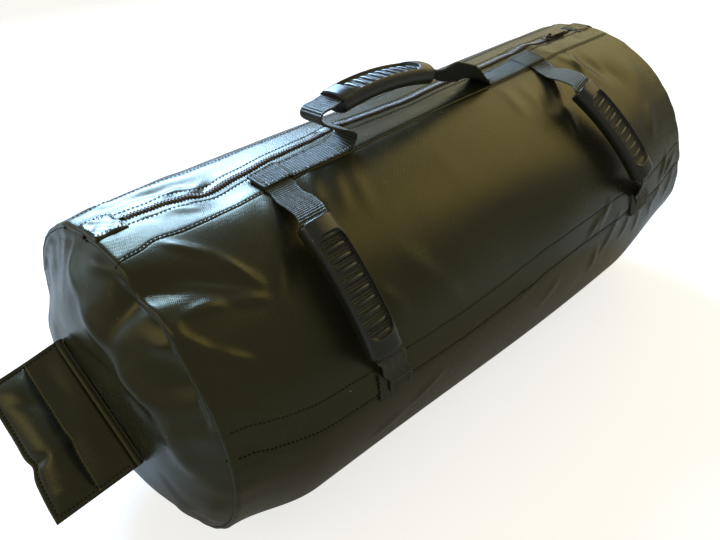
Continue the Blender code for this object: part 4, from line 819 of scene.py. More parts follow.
def patch_mesh(low, high, lift):
    """A flat patch over the zip, from low to high along it, whose edges round down to the cloth:
    its height is lift inside and falls off as a quarter circle at the edge."""
    ways = signed_power(np.linspace(-1.0, 1.0, 44), 0.8)
    u, v = ways[:, None], ways[None, :]
    x, turn = (low + high) / 2.0 + (high - low) / 2.0 * u, np.pi / 2 + TAB_HALF * v
    inside = np.minimum((1.0 - np.abs(u)) * (high - low) / 2.0, (1.0 - np.abs(v)) * TAB_HALF * BAG_RADIUS)
    round_edge = np.sqrt(1.0 - (1.0 - np.clip(inside / TAB_ROUNDING, 0.0, 1.0)) ** 2)
    uneven = 0.0005 * np.sin(x * 420.0 + 1.0) * np.sin(turn * 60.0)
    height = -0.0006 + (lift + 0.0006 + uneven + 0.0002 * (1.0 - v ** 2)) * round_edge
    return grid_mesh(skin(x, turn, height), stacked(x, BAG_RADIUS * turn), inward=True)


for label, low, high, lift in (("left", -0.2992, -0.2735, 0.0022), ("right", 0.2735, 0.2992, 0.0014)):
    name = "zip_end_tab_" + label
    thicken(add_piece(name + "_cloth", patch_mesh(low, high, lift), vinyl, "bag", "vinyl", name), FABRIC)
    ways, still = np.linspace(-1.0, 1.0, 40), np.ones(40)
    xs = (low + high) / 2.0 + ((high - low) / 2.0 - TAB_INSET) * np.concatenate([ways, still, -ways, -still])
    turns = np.pi / 2 + (TAB_HALF - TAB_INSET / BAG_RADIUS) * np.concatenate([-still, ways, still, -ways])
    rings = stitch_rings(skin(xs, turns, lift + 0.0002), radial(turns), pitch=0.0030)
    add_threads(name + "_stitches", [rings], black_thread, "bag", "vinyl")

pale_thread = thread_finish("pale_thread", (0.16, 0.15, 0.11))
frays = []
for index in range(9):
    start_x, start_turn = -0.2745 + 0.0016 * (index % 3), np.pi / 2 + (index - 4) * 0.016
    way = np.linspace(0.0, 1.0, 9)
    bend = chance.uniform(-0.5, 0.5)
    xs = start_x + way * chance.uniform(0.003, 0.009)
    turns = start_turn + way * chance.uniform(-0.05, 0.05) + bend * way ** 2 * 0.05
    line = skin(xs, turns, 0.0014 + 0.0016 * np.sin(way * np.pi) * chance.uniform(0.4, 1.4))
    tangent = unit(np.gradient(line, axis=0))
    side = unit(np.cross(tangent, (0.0, 0.0, 1.0)))
    frays.append((line[:, None] + round_section(side, np.cross(side, tangent)) * 0.00013)[None])
add_threads("frayed_thread_ends", frays, pale_thread, "bag", "webbing")


# The handles' webbing: heavy ribbed polypropylene, 25 mm wide with firm rolled edges. Each strap is
# one length: both ends are sewn down on the bag, and the free loop between them passes a grip.
WEBBING_WIDTH, WEBBING = 0.025, 0.0015
SEWN_LEVEL, DOUBLE_LEVEL = 0.00115, 0.00305
WEBBING_RIB = 0.0025
# The webbing's colour carries a strong painted highlight on its rib crowns and painted shade in its grooves.
webbing_cloth = woven_finish("ribbed_webbing", (0.022, 0.025, 0.017), 0.40, WEBBING_RIB, 0.0014, 0.0009,
                             sheen=0.06, crown_highlight_gain=3.2)
WEBBING_THREAD = 0.00036


def strap_path(controls):
    """A smooth path through control rows of point, width direction, the direction that the width is
    square to (zeros for the path's own) and bow: a Catmull-Rom cubic, cut into even steps."""
    controls = np.array(controls, float)
    ends = np.concatenate([controls[:1], controls, controls[-1:]])[:, :3]
    index, share = (part.reshape(-1) for part in np.meshgrid(
        np.arange(len(controls) - 1), np.linspace(0.0, 1.0, 40, endpoint=False), indexing="ij"))
    share = share[:, None]
    before, start, end, after = (ends[index + shift] for shift in range(4))
    curve = start * 2.0 + (end - before) * share
    curve = curve + (before * 2.0 - start * 5.0 + end * 4.0 - after) * share ** 2
    curve = (curve + (start * 3.0 - before - end * 3.0 + after) * share ** 3) / 2.0
    first, second = controls[index, 3:], controls[index + 1, 3:]
    rest = first + (second - first) * share
    free = (np.abs(first[:, 3:6]).sum(axis=1) < 0.1) | (np.abs(second[:, 3:6]).sum(axis=1) < 0.1)
    rest[free, 3:6] = 0.0
    rows = np.concatenate([np.concatenate([curve, rest], axis=1), controls[-1:]])
    whole = np.linalg.norm(np.diff(rows[:, :3], axis=0), axis=1).sum()
    return along_line(rows, np.linspace(0.0, whole, int(whole / 0.0005)))


def strap_frames(path):
    """Point, width direction and thickness direction of each row of a path."""
    tangent = unit(np.gradient(path[:, :3], axis=0))
    square = np.where(np.abs(path[:, 6:9]).sum(axis=1, keepdims=True) > 0.1, unit(path[:, 6:9]), tangent)
    width = path[:, 3:6] - square * (path[:, 3:6] * square).sum(axis=1, keepdims=True)
    return path[:, :3], unit(width), unit(np.cross(width, tangent))


def bar_section(half, thickness):
    """Offsets across and lifts (-1 to 1) of a flat bar with round edges, once round it."""
    face, bend = np.linspace(1.0, -1.0, 13), np.radians((60.0, 0.0, -60.0))
    flat, edge = half - thickness / 2.0, thickness / 2.0
    rim = edge * np.cos(bend)
    across = np.concatenate([face * flat, -flat - rim, -face * flat, flat + rim])
    return across, np.concatenate([face * 0.0 + 1.0, np.sin(bend), face * 0.0 - 1.0, -np.sin(bend)])


def strap_mesh(path):
    """The bar section carried along a path. Both faces wave with the length as the absolute value
    of a sine, one wave for each rib, and the rolled edges stay even."""
    points, width, normal = strap_frames(path)
    travelled = np.concatenate([[0.0], np.cumsum(np.linalg.norm(np.diff(points, axis=0), axis=1))])[:, None]
    across, lift = bar_section(WEBBING_WIDTH / 2.0, WEBBING)
    inner = np.abs(across) < WEBBING_WIDTH / 2.0 - 0.0013
    wave = np.abs(np.sin(np.pi * travelled / WEBBING_RIB + 0.35 * np.sin(across * 900.0)))
    height = lift * (WEBBING / 2.0 + np.where(inner, 0.00046 * (wave - 0.6), 0.00016))
    height = height + path[:, 9:10] * across ** 2 / (2.0 * BAG_RADIUS)
    rings = points[:, None] + width[:, None] * across[:, None] + normal[:, None] * height[..., None]
    return tubes_mesh(on_cloth(rings)[None], stacked(travelled, across)[None])


def strap_stitches(path, offset, pitch=0.0036):
    """Dashes along a path on the webbing's outer face, at an offset across it."""
    points, width, normal = strap_frames(path)
    bow = path[:, 9:10] * offset ** 2 / (2.0 * BAG_RADIUS)
    line = points + width * offset - normal * (WEBBING / 2.0 + 0.00012 - bow)
    return stitch_rings(on_cloth(line), -normal, pitch, WEBBING_THREAD)


def near(path, point):
    """Index of the row of a path that is nearest to a point."""
    return int(np.argmin(np.linalg.norm(path[:, :3] - point, axis=1)))


# The moulded grips: arched sleeves of dark rubbery plastic. A wide slot runs through each for the
# webbing, and the outer face has a sunk window of finger ribs whose gaps open on the webbing.
GRIP_LENGTH, GRIP_WIDTH, GRIP_HEIGHT, GRIP_ARC = 0.104, 0.029, 0.018, 0.240
BORE_LEVEL = 0.00325
FINGER_PITCH = 0.0084
END_ROUND = 0.0026                              # radius of the sleeve's end edges
WINDOW = (0.0395, 0.0118, 0.0085)               # half length, half width and corner of the window
FINGER_GAP = (0.0026, 0.0107, 0.0024)           # the same of a gap between two ribs
RIB_ROUND, RIB_DROP, WINDOW_DEPTH = 0.0021, 0.00085, 0.0033
RAIL_PLACE, RAIL_HEIGHT = 0.0126, 0.00048       # the ledge on both sides of the window
MOUTH_HALF_WIDTH, MOUTH_HALF_HEIGHT = 0.0131, 0.00135
SIDEWAYS = np.array((0.0, 1.0, 0.0))


def grip_arc(along, level=0.0):
    """A point of the sleeve's arc, whose middle is its own origin and whose ends bend towards -Z."""
    angle, radius = along / GRIP_ARC, GRIP_ARC + level
    return stacked(radius * np.sin(angle), 0.0, radius * np.cos(angle) - GRIP_ARC)


def grip_frame(start, end, outward):
    """Axes (along, across and up as rows) and origin of a sleeve whose ends stand at start and end."""
    along = unit(end - start)
    up = unit(outward - along * (outward @ along))
    axes = np.stack([along, np.cross(up, along), up])
    return axes, (start + end) / 2.0 - up * grip_arc(GRIP_LENGTH / 2.0)[2]


def rounded_box_distance(x, y, half_x, half_y, corner):
    """Distance outside (positive) or inside (negative) a rectangle with round corners."""
    over_x, over_y = np.abs(x) - half_x + corner, np.abs(y) - half_y + corner
    inside = np.minimum(np.maximum(over_x, over_y), 0.0)
    return np.hypot(np.maximum(over_x, 0.0), np.maximum(over_y, 0.0)) + inside - corner


def quarter_round(share):
    """0 at 0 and 1 at 1 or over, along a quarter of a circle that starts flat."""
    return 1.0 - np.sqrt(np.maximum(1.0 - np.clip(share, 0.0, 1.0) ** 2, 0.0))


def grip_mesh(axes, origin):
    """A superellipse section of exponent 2.6 along the arc. The outer side is sunk inside a rounded
    window, each rib's crown is a flat half round, and the gaps go down past the webbing's face.
    Both ends turn in over a round edge to the mouth of the slot and 12 mm into it."""
    half_length, half_width, half_height = GRIP_LENGTH / 2.0, GRIP_WIDTH / 2.0, GRIP_HEIGHT / 2.0
    crown = np.array((0.0, 1.4, 2.8, 4.0, 5.2, 6.4, 7.6, 8.6, 9.3, 9.8, 10.2, 10.5, 10.8, 11.1, 11.4, 11.7,
                      12.0, 12.3, 12.6, 13.0)) / 1000.0
    crown = np.arccos((crown / half_width) ** 1.3)
    quarter = np.concatenate([np.radians((0.0, 3.0, 7.0, 13.0, 20.0)), crown[::-1]])
    angle = np.concatenate([quarter, np.pi - quarter[-2::-1], np.pi + np.linspace(0.0, np.pi, 38)[1:-1]])
    even = np.linspace(-half_length + END_ROUND, half_length - END_ROUND, 400)
    edge = half_length - END_ROUND + END_ROUND * np.sin(np.radians((18.0, 36.0, 54.0, 72.0, 90.0)))
    along = np.concatenate([-edge[::-1], even, edge])[:, None]
    size = 1.0 - 0.10 * quarter_round((np.abs(along) - half_length + END_ROUND) / END_ROUND)
    across = half_width * signed_power(np.cos(angle), 1.0 / 1.3) * size
    up = half_height * signed_power(np.sin(angle), 1.0 / 1.3) * size
    across = across + np.sign(across) * 0.00016 * np.exp(-(up / 0.00035) ** 2)
    gap = along - FINGER_PITCH * np.clip(np.round(along / FINGER_PITCH), -4, 4)
    slot = rounded_box_distance(gap, across, *FINGER_GAP)
    sunk = ease((0.0003 - rounded_box_distance(along, across, *WINDOW)) / 0.0009)
    lowered = sunk * (WINDOW_DEPTH + RIB_DROP * quarter_round(1.0 - np.clip(slot / RIB_ROUND, 0.0, 1.0)))
    rail = RAIL_HEIGHT * np.exp(-((np.abs(across) - RAIL_PLACE) / 0.0005) ** 2)
    rail = rail * ease((0.041 - np.abs(along)) / 0.002)
    outer = up > 0.0
    top = up - np.where(outer, lowered - rail, 0.0)
    cut = np.where(outer, ease((0.00012 - slot) / 0.00042), 0.0)
    top = top * (1.0 - cut) + (BORE_LEVEL + 0.00055) * cut
    body = grip_arc(along, top) + across[..., None] * SIDEWAYS

    def mouth(at, grow):
        level = (MOUTH_HALF_HEIGHT + grow) * signed_power(np.sin(angle), 0.25)
        reach = (MOUTH_HALF_WIDTH + grow) * signed_power(np.cos(angle), 0.25)
        return grip_arc(at, BORE_LEVEL + level) + reach[:, None] * SIDEWAYS

    depths = ((0.0, 0.0007), (0.0002, 0.00025), (0.0007, 0.0), (0.012, 0.0))
    first = np.stack([mouth(depth - half_length, grow) for depth, grow in depths[::-1]])
    last = np.stack([mouth(half_length - depth, grow) for depth, grow in depths])
    return tubes_mesh((np.concatenate([first, body, last]) @ axes + origin)[None])


# Moulded grip plastic: fine pebble, smoky variation in the gloss, and dust in the pebble.
grip_moulding = Finish("moulded_grip", (0.013, 0.0138, 0.0088), 0.29)
marks, smoky = worn_surface(grip_moulding, 0.7, 0.4, (0.7, 1.5), (0.30, 0.29, 0.25), (0.22, 0.19))
grip_moulding.feed("Roughness", smoky)
grip_moulding.bump(grip_moulding.texture("Voronoi", 1500.0)["Distance"], 0.22, 0.00012)


# The top handle: its strap is sewn down on both sides, curls back over its left sewn end, runs
# through the grip and twists down to its right sewn end.
TOP_TURN = UPPER_SEAM + WEBBING_WIDTH / 2.0 / BAG_RADIUS
TOP_SEWN_END, TOP_LOOP_HEIGHT = 0.093, 0.040
ROUND_THE_BARREL = (0.0, np.sin(TOP_TURN), np.cos(TOP_TURN))
FREE = (0.0, 0.0, 0.0)           # the width is square to the strap's own path
TOP_SEWN = ((0.1770, 0.0016), (0.1762, 0.0027), (0.1745, 0.00305), (0.1645, 0.00305), (0.1520, 0.00305),
            (0.1490, 0.00210), (0.1460, 0.00115), (0.1195, 0.00115), (0.0930, 0.00115))
TOP_CURL = ((-0.905, 0.080), (-0.890, 0.235), (-0.960, 0.345), (-1.080, 0.480), (-1.215, 0.660),
            (-1.262, 0.800), (-1.225, 0.920), (-1.130, 0.945))
TOP_LEAVE = ((0.250, 0.720, 18.0), (0.470, 0.570, 55.0), (0.720, 0.345, 52.0), (0.860, 0.160, 13.0),
             (0.940, 0.045, 1.5))
GRIP_ROWS = np.array((-1.06, -0.94, -0.50, 0.0, 0.50, 0.94, 1.06)) * GRIP_LENGTH / 2.0
top_ground = round_form(0.0, TOP_TURN, SEWN_LEVEL)


def loop_point(share_x, share_z):
    """A point of the free loop, as shares of its half length and of its height over the bag."""
    return np.array((TOP_SEWN_END * share_x, top_ground[1], top_ground[2] + TOP_LOOP_HEIGHT * share_z))


def grip_rows(axes, origin):
    """Control rows of the strap through a grip."""
    return [(*(grip_arc(along, BORE_LEVEL) @ axes + origin), *axes[1], *axes[2], 0.0) for along in GRIP_ROWS]


def top_sewn_rows(side, rows):
    """Control rows of a sewn end, from its places along the bag and levels over the cloth."""
    return [(*round_form(side * x, TOP_TURN, level), *ROUND_THE_BARREL, *FREE, 1.0) for x, level in rows]


slope = np.radians(-2.8)
half_chord = GRIP_ARC * np.sin(GRIP_LENGTH / 2.0 / GRIP_ARC) * np.array((np.cos(slope), 0.0, np.sin(slope)))
grip_middle = loop_point(-0.457, 0.850)
top_axes, top_origin = grip_frame(grip_middle - half_chord, grip_middle + half_chord,
                                  np.array((0.0, 0.0, 1.0)))
controls = top_sewn_rows(-1.0, TOP_SEWN)
controls += [(*loop_point(*shares), 0.0, 1.0, 0.0, *FREE, 0.0) for shares in TOP_CURL]
controls += grip_rows(top_axes, top_origin)
for share_x, share_z, twist in TOP_LEAVE:
    twist = np.radians(twist)
    controls.append((*loop_point(share_x, share_z), 0.0, np.cos(twist), -np.sin(twist), *FREE, 0.0))
controls += top_sewn_rows(1.0, TOP_SEWN[::-1])
path = strap_path(controls)
meeting = near(path, grip_arc(FINGER_PITCH / 2.0, BORE_LEVEL) @ top_axes + top_origin)
for label, part, nodes, start, end in (
        ("left", path[:meeting + 1], ("top_strap_left", "top_strap_loop"),
         (0.0, 0.0, 0.2735), (0.0, 0.0, 0.2870)),
        ("right", path[meeting:], ("top_strap_right",), (0.095, 0.0, 0.270), (0.060, 0.0, 0.284))):
    strap = add_piece("top_strap_%s_half" % label, strap_mesh(part), webbing_cloth, None, "webbing", *nodes)
    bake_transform(strap)
SEWN_RUN = np.array((0.082, 0.0, 0.0))
sewn_left, sewn_right = near(path, path[0, :3] + SEWN_RUN), near(path, path[-1, :3] - SEWN_RUN)
inset = WEBBING_WIDTH / 2.0 - 0.0021
groups = [strap_stitches(part, offset) for part in (path[5:sewn_left], path[sewn_right:-5])
          for offset in (-inset, inset)]
for x in (-0.1742, -0.1500, -0.0965, 0.0965, 0.1500, 0.1742):
    turns = TOP_TURN + np.linspace(-inset, inset, 30) / BAG_RADIUS
    level = np.interp(abs(x), (0.146, 0.152), (SEWN_LEVEL, DOUBLE_LEVEL)) + WEBBING / 2.0 + 0.0001
    groups.append(stitch_rings(skin(x, turns, level), radial(turns), 0.0032, WEBBING_THREAD))
add_threads("top_strap_stitches", groups, pale_thread, "bag", "webbing")
add_piece("top_grip_sleeve", grip_mesh(top_axes, top_origin), grip_moulding, "top_handle", "moulded_grip",
          "top_grip")


# The front handles: each strap comes from under the top stretch, passes its grip and is sewn down
# over the lower seam. The strap's end is folded slantwise under it and shows at its left.
GRIP_STANDOFF, GRIP_DROP = 0.020, 0.0955
RISES = np.array(((0.12, 0.035), (0.32, 0.18), (0.56, 0.55), (0.82, 0.91)))
TAIL_LENGTH, TAIL_WIDTH, BASE_END = 0.025, 0.0105, 0.006
ALONG_THE_BAG = (1.0, 0.0, 0.0)


def rise_rows(sewn, grip, across):
    """Control rows between the sewn end and the grip, both given as x and turn: shares of the way
    and of the height, and square to the grip as soon as the strap is off the bag."""
    rows = []
    for index, (way, height) in enumerate(RISES):
        x, turn = np.array(sewn) + (np.array(grip) - np.array(sewn)) * way
        rise = SEWN_LEVEL + (GRIP_STANDOFF + BORE_LEVEL - SEWN_LEVEL) * height
        rows.append((*round_form(x, turn, rise), *(across if index else ALONG_THE_BAG), *radial(turn), 0.0))
    return rows


def sewn_rows_at(x, turns):
    """Control rows of a stretch that lies sewn on the bag, across its length."""
    return [(*round_form(x, turn, SEWN_LEVEL), *ALONG_THE_BAG, *radial(turn), 0.0) for turn in turns]


middle = UPPER_SEAM - GRIP_DROP / BAG_RADIUS
tuck, leave = UPPER_SEAM + 0.020 / BAG_RADIUS, UPPER_SEAM - 0.005 / BAG_RADIUS
base = LOWER_SEAM + 0.008 / BAG_RADIUS
chord = 2.0 * GRIP_ARC * np.sin(GRIP_LENGTH / 2.0 / GRIP_ARC)
for label, strap_x, (top_x, low_x), base_x in (
        ("left", -0.1645, (-0.1788, -0.1762), -0.152), ("right", 0.1645, (0.1493, 0.1765), 0.206)):
    half_turn = np.arcsin(np.sqrt(chord ** 2 - (low_x - top_x) ** 2) / 2.0 / (BAG_RADIUS + GRIP_STANDOFF))
    axes, origin = grip_frame(round_form(top_x, middle + half_turn, GRIP_STANDOFF),
                              round_form(low_x, middle - half_turn, GRIP_STANDOFF), radial(middle))
    rising = rise_rows((strap_x, leave), (top_x, middle + half_turn), axes[1])
    falling = rise_rows((base_x, base), (low_x, middle - half_turn), axes[1])[::-1]
    path = strap_path(sewn_rows_at(strap_x, (tuck, (tuck + leave) / 2.0, leave)) + rising
                      + grip_rows(axes, origin) + falling
                      + sewn_rows_at(base_x, (base, LOWER_SEAM, LOWER_SEAM - BASE_END / BAG_RADIUS)))
    meeting = near(path, grip_arc(FINGER_PITCH / 2.0, BORE_LEVEL) @ axes + origin)
    for half, part, nodes, row in (
            ("upper", path[:meeting + 1], (label + "_strap_top", label + "_strap_loop"), rising),
            ("lower", path[meeting:], (label + "_strap_base",), falling[::-1])):
        name = "%s_strap_%s_half" % (label, half)
        strap = add_piece(name, strap_mesh(part), webbing_cloth, None, "webbing", *nodes)
        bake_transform(strap)
    sewn = near(path, round_form(base_x, base, SEWN_LEVEL))
    groups = [strap_stitches(path[sewn:-3], offset, 0.0030) for offset in (-inset, inset)]
    for distance in (0.0052, -0.0040):
        line = skin(base_x + np.linspace(-inset, inset, 30), LOWER_SEAM + distance / BAG_RADIUS, 0.0021)
        groups.append(stitch_rings(line, radial(np.full(30, LOWER_SEAM)), 0.0030, 0.00032))
    add_threads(label + "_strap_stitches", groups, pale_thread, "bag", "webbing")
    add_piece(label + "_grip_sleeve", grip_mesh(axes, origin), grip_moulding, label + "_handle",
              "moulded_grip", label + "_grip")
    share = np.linspace(0.0, 1.0, 30)[:, None]
    edge, reach = base_x - WEBBING_WIDTH / 2.0 + 0.0006, TAIL_WIDTH * (1.0 - 0.96 * share) / 2.0
    across, lift = bar_section(1.0, 0.12)
    x = edge - TAIL_WIDTH + reach + reach * across
    turn = LOWER_SEAM + (TAIL_LENGTH * share - BASE_END) / BAG_RADIUS + 0.0 * x
    level = 0.0012 + 0.00075 * lift + 0.0030 * (1.0 + across) / 2.0 * (1.0 - 0.8 * share)
    flat = stacked((x + turn * BAG_RADIUS) * 0.707, (x - turn * BAG_RADIUS) * 0.707)
    add_piece(label + "_strap_tail_fold", tubes_mesh(skin(x, turn, level)[None], flat[None]), webbing_cloth,
              "bag", "webbing", label + "_strap_tail")


# The end flaps: two sheets of the coated fabric with turned-in bound edges, a flat inner half, and
# a roll of foam sewn into the outer half. Each hangs from a welt sewn across the end cap.
FLAP_LENGTH, FLAP_WIDTH, FLAP_DIVIDE = 0.064, 0.116, 0.030
FLAP_TILT, FLAP_DROOP = np.radians(31.0), np.radians(18.0)
FLAP_SEWING = 0.0036             # from the flap's edge to its row of stitches
FLAP_SKEW = 0.11                 # share of its length by which the flap is shorter at its upper end
CAP_FACE = HALF_LENGTH + CAP_BULGE
FLAP_MIDDLE = np.array((0.0, 0.0, 0.13949))
FLAP_ROOT = np.array((0.0, -np.cos(FLAP_TILT), -np.sin(FLAP_TILT)))
DOWN_THE_CAP = np.array((0.0, np.sin(FLAP_TILT), -np.cos(FLAP_TILT)))


def on_cap(side, points):
    """Moves points near a cap's even face by the relief of its cloth, fading 5 mm out from it."""
    across, up = points[..., 1], points[..., 2] - CAP_MIDDLE
    share, angle = np.hypot(across, up) / 0.1385, np.arctan2(up, -across)
    shift = side * cap_relief(side, across, up, np.minimum(share, 1.0), angle)
    fade = 1.0 - ease((side * points[..., 0] - CAP_FACE - 0.001) / 0.005)
    return points + stacked(shift * fade, 0.0, 0.0)


def flap_height(along, across, upper):
    """Half thickness of the flap: sheets, then the roll as a power of a half sine that falls off to
    its ends, less the sewn grooves, rounded off at the edges; the upper face has its wrinkles."""
    to_edge = np.minimum(FLAP_LENGTH - along, FLAP_WIDTH / 2.0 - np.abs(across))
    share = np.clip((along - FLAP_DIVIDE - 0.0006) / (FLAP_LENGTH - FLAP_DIVIDE - 0.0046), 0.0, 1.0)
    row = np.clip(np.abs(across) / (FLAP_WIDTH / 2.0 - 0.0042), 0.0, 1.0)
    roll = 0.0070 * np.sin(np.pi * share ** 0.82) ** 0.62 * (1.0 - row ** 6) * (1.0 if upper else 0.85)
    total = 0.0013 + roll * (1.0 + 0.10 * np.sin(across * 95.0 + 0.8))
    total = total - 0.0005 * np.exp(-((to_edge - FLAP_SEWING) / 0.0007) ** 2)
    total = total - 0.0006 * np.exp(-((along - FLAP_DIVIDE) / 0.0008) ** 2)
    if upper:
        notch = np.exp(-((across - 0.012 - (FLAP_LENGTH - along) * 0.25) / 0.0035) ** 2)
        total = total - roll * 0.38 * notch * ease((along - 0.044) / 0.014)
        slack = np.exp(-((across + 0.030 + (along - 0.045) * 0.8) / 0.006) ** 2)
        total = total - roll * 0.12 * slack
        total = total + 0.0010 * np.exp(-((along - 0.017) / 0.009) ** 2) * np.sin(across * 60.0)
        corner = ((across - 0.044 + (along - 0.05) * 0.5) / 0.004) ** 2
        corner = np.exp(-corner - ((along - 0.046) / 0.012) ** 2)
        total = total + 0.0010 * corner * roll / 0.0068
    rounding = np.clip(1.0 - to_edge / 0.0009, 0.0, 1.0)
    return 0.00025 + (total - 0.00025) * np.sqrt(np.maximum(1.0 - rounding ** 2, 0.0))


def flap_place(along, across):
    """How far out a point of the sheets lies: along, less what the roll's gathers pull in, which
    grows towards the outer edge, and less the skew."""
    pulled = 0.0026 * np.exp(-((across - 0.014) / 0.006) ** 2) + 0.0008 * np.cos(across * 70.0) - 0.0004
    return along - along / FLAP_LENGTH * pulled - FLAP_SKEW * along * (0.5 - across / FLAP_WIDTH)


def flap_point(frame_of_flap, placed, across, level):
    """A point of the flap in its own frame, with the soft bend of the whole, a product of sines."""
    hinge, out, up = frame_of_flap
    level = level + 0.0012 * np.sin(placed / FLAP_LENGTH * 3.0) * np.sin(across * 45.0 + 1.0)
    return hinge + placed[..., None] * out + across[..., None] * FLAP_ROOT + level[..., None] * up


WELT = np.array(((-3.4, 0.0), (-3.2, 0.4), (-2.5, 0.6), (-1.9, 0.7), (-1.4, 1.0), (-0.7, 1.4), (0.0, 1.5),
                 (0.7, 1.4), (1.4, 1.0), (1.9, 0.7), (2.5, 0.6), (3.2, 0.4), (3.4, 0.0), (2.6, -0.8),
                 (0.0, -0.8), (-2.6, -0.8))) / 1000.0
for side, label in ((-1.0, "left"), (1.0, "right")):
    face_out = np.array((side, 0.0, 0.0))
    out = face_out * np.cos(FLAP_DROOP) + DOWN_THE_CAP * np.sin(FLAP_DROOP)
    up = -side * np.cross(out, FLAP_ROOT)
    hinge = FLAP_MIDDLE + face_out * (CAP_FACE + 0.0049)
    along = FLAP_LENGTH * (1.0 - (1.0 - np.linspace(0.02, 1.0, 74)) ** 1.3)
    ways = np.linspace(-1.0, 1.0, 150)[:, None]
    across = (np.sin(ways * np.pi / 2.0) * 0.35 + ways * 0.65) * FLAP_WIDTH / 2.0
    upper, lower = (flap_height(along + 0.0 * across, across, outer_face) for outer_face in (True, False))
    placed = flap_place(along, across)
    placed = np.concatenate([placed, placed[:, ::-1]], axis=1)
    height = np.concatenate([upper, -lower[:, ::-1]], axis=1)
    outer = flap_point((hinge, out, up), placed, across, height)
    levels = np.array((0.0034, 0.0016, 0.0))
    tucked = FLAP_MIDDLE + face_out * (CAP_FACE + 0.0004) + across[..., None] * FLAP_ROOT
    tucked = tucked + levels[:, None] * face_out
    under, over = tucked - 0.0010 * DOWN_THE_CAP, tucked[:, ::-1] + 0.0010 * DOWN_THE_CAP
    rings = on_cap(side, np.concatenate([over, outer, under], axis=1))
    placed = np.concatenate([0.0 * across - levels[::-1], placed, 0.0 * across - levels], axis=1)
    mesh = tubes_mesh(rings[None], stacked(placed, across)[None])
    flap = add_piece(label + "_flap", mesh, vinyl, None, "vinyl", label + "_flap_upper_sheet",
                     label + "_flap_lower_sheet", label + "_flap_core")
    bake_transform(flap)

    edge, tip, near_root = FLAP_WIDTH / 2.0 - FLAP_SEWING, FLAP_LENGTH - FLAP_SEWING, 0.004
    ways = np.linspace(0.0, 1.0, 60)
    still, crossing = 0.0 * ways, -edge + 2.0 * edge * ways
    runs = [(near_root + (tip - near_root) * ways, still - edge), (still + tip, crossing),
            (tip - (tip - near_root) * ways, still + edge), (still + FLAP_DIVIDE, crossing)]
    groups = []
    for along, across in runs:
        for face in (1.0, -1.0):
            level = (flap_height(along, across, face > 0.0) + 0.0001) * face
            line = flap_point((hinge, out, up), flap_place(along, across), across, level)
            groups.append(stitch_rings(line, np.broadcast_to(up * face, line.shape), 0.0032))
    add_threads(label + "_flap_stitches", groups, black_thread, label + "_flap", "vinyl")

    lengths = np.linspace(-FLAP_WIDTH / 2.0, FLAP_WIDTH / 2.0, 90)[:, None]
    taper = np.sqrt(np.clip((FLAP_WIDTH / 2.0 - np.abs(lengths)) / 0.003, 0.02, 1.0))
    rings = FLAP_MIDDLE + lengths[..., None] * FLAP_ROOT + (WELT[:, 0] * taper)[..., None] * DOWN_THE_CAP
    rings = rings + (CAP_FACE + 0.0003 + WELT[:, 1] * taper)[..., None] * face_out
    welt = tubes_mesh(on_cap(side, rings)[None], stacked(lengths, WELT[:, 0])[None])
    add_piece(label + "_flap_welt", welt, vinyl, "bag", "vinyl", label + "_flap_root")
    groups = []
    for shift in (-0.0024, 0.0024):
        line = FLAP_MIDDLE + lengths * FLAP_ROOT * 0.97 + shift * DOWN_THE_CAP
        line = on_cap(side, line + face_out * (CAP_FACE + 0.0010))
        groups.append(stitch_rings(line, np.broadcast_to(face_out, line.shape), thread=FINE_THREAD))
    add_threads(label + "_welt_stitches", groups, black_thread, "bag", "vinyl")


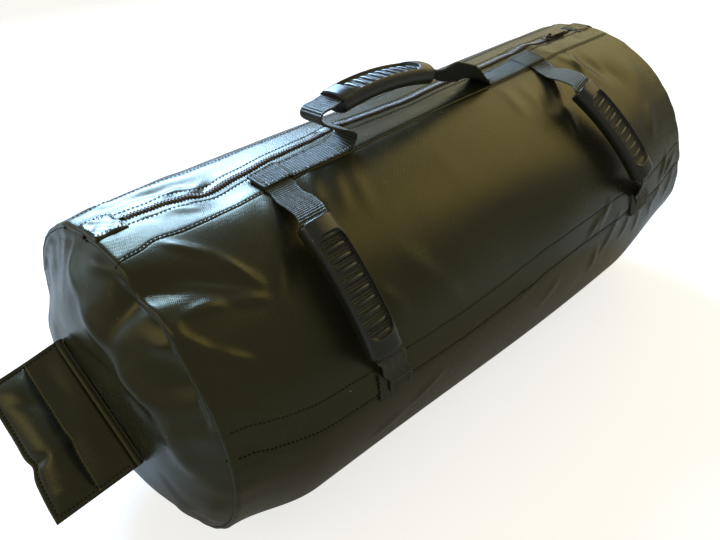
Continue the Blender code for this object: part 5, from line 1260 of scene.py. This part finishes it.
# The filling: two bags of plain cloth, each full of dry sand. Their necks are folded over and
# pressed flat, and face each other in the middle of the barrel.
def filler_mesh(side, inset, inner, pucker):
    """A closed tube inside the barrel: its section is the barrel's, inset, scaled by a half sine
    towards both ends, and small radial waves gather the cloth near them."""
    share = np.linspace(0.0, 1.0, 90)[:, None]
    outer = HALF_LENGTH - inset
    x = outer + (inner - outer) * (1.0 - np.cos(np.pi * share)) / 2.0
    from_end = np.minimum(outer - x, x - inner)
    size = np.sqrt(1.0 - (1.0 - np.clip(from_end / 0.040, 0.0, 1.0)) ** 2) ** 0.8 + 0.004
    angle = np.linspace(0.0, 2.0 * np.pi, 120, endpoint=False)[None, :]
    rim = round_form(side * x, angle, -inset)
    middle = (round_form(side * x, np.pi / 2.0, -inset) + round_form(side * x, -np.pi / 2.0, -inset)) / 2.0
    waves = np.sin(angle * 31.0 + side) + 0.6 * np.sin(angle * 19.0 + 2.0)
    gathered = size * (1.0 + pucker * waves * np.exp(-from_end / 0.016))
    points = middle + (rim - middle) * np.minimum(gathered, 1.0)[..., None] * np.array((0.0, 1.0, 1.0))
    return tubes_mesh(points[None], stacked(x, BAG_RADIUS * angle)[None])


# The filler cloth's colour has painted shade in its grooves and a painted highlight on its crowns.
filler_cloth = woven_finish("filler_cloth", (0.055, 0.052, 0.045), 0.8, 0.0009, 0.0009, 0.00025)
dry_sand = Finish("dry_sand", (0.44, 0.35, 0.22), 0.9, 0.3)
grains = dry_sand.texture("Voronoi", 1400.0)
tones = dry_sand.node("ShaderNodeSeparateColor", [("Color", grains["Color"])]).outputs["Red"]
dry_sand.feed("Base Color", dry_sand.mix(tones, (0.26, 0.19, 0.11), (0.62, 0.52, 0.36)))
dry_sand.bump(grains["Distance"], 0.8, 0.0006)
angle = np.linspace(0.0, 2.0 * np.pi, 64, endpoint=False)
share = np.linspace(-1.0, 1.0, 70)[:, None]
for side, label in ((-1.0, "left"), (1.0, "right")):
    add_piece(label + "_filler_cloth", filler_mesh(side, 0.0120, 0.0130, 0.030), filler_cloth, "bag",
              "filler_cloth", label + "_filler_bag")
    add_piece(label + "_sand_fill", filler_mesh(side, 0.0145, 0.0160, 0.004), dry_sand, "bag", "sand",
              label + "_sand")
    pinch = np.sqrt(np.clip((1.0 - np.abs(share)) / 0.06, 0.02, 1.0))
    thick = 0.0033 * (0.80 + 0.20 * np.cos(share * 9.0)) * pinch
    neck_z = AXIS_HEIGHT + 0.0295 * pinch * signed_power(np.sin(angle), 0.5)
    rings = stacked(side * (0.0061 + thick * signed_power(np.cos(angle), 0.6)), 0.0545 * share, neck_z)
    add_piece(label + "_neck_fold", tubes_mesh(rings[None], rings[None, ..., 1:]), filler_cloth, "bag",
              "filler_cloth", label + "_filler_neck")


low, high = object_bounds()
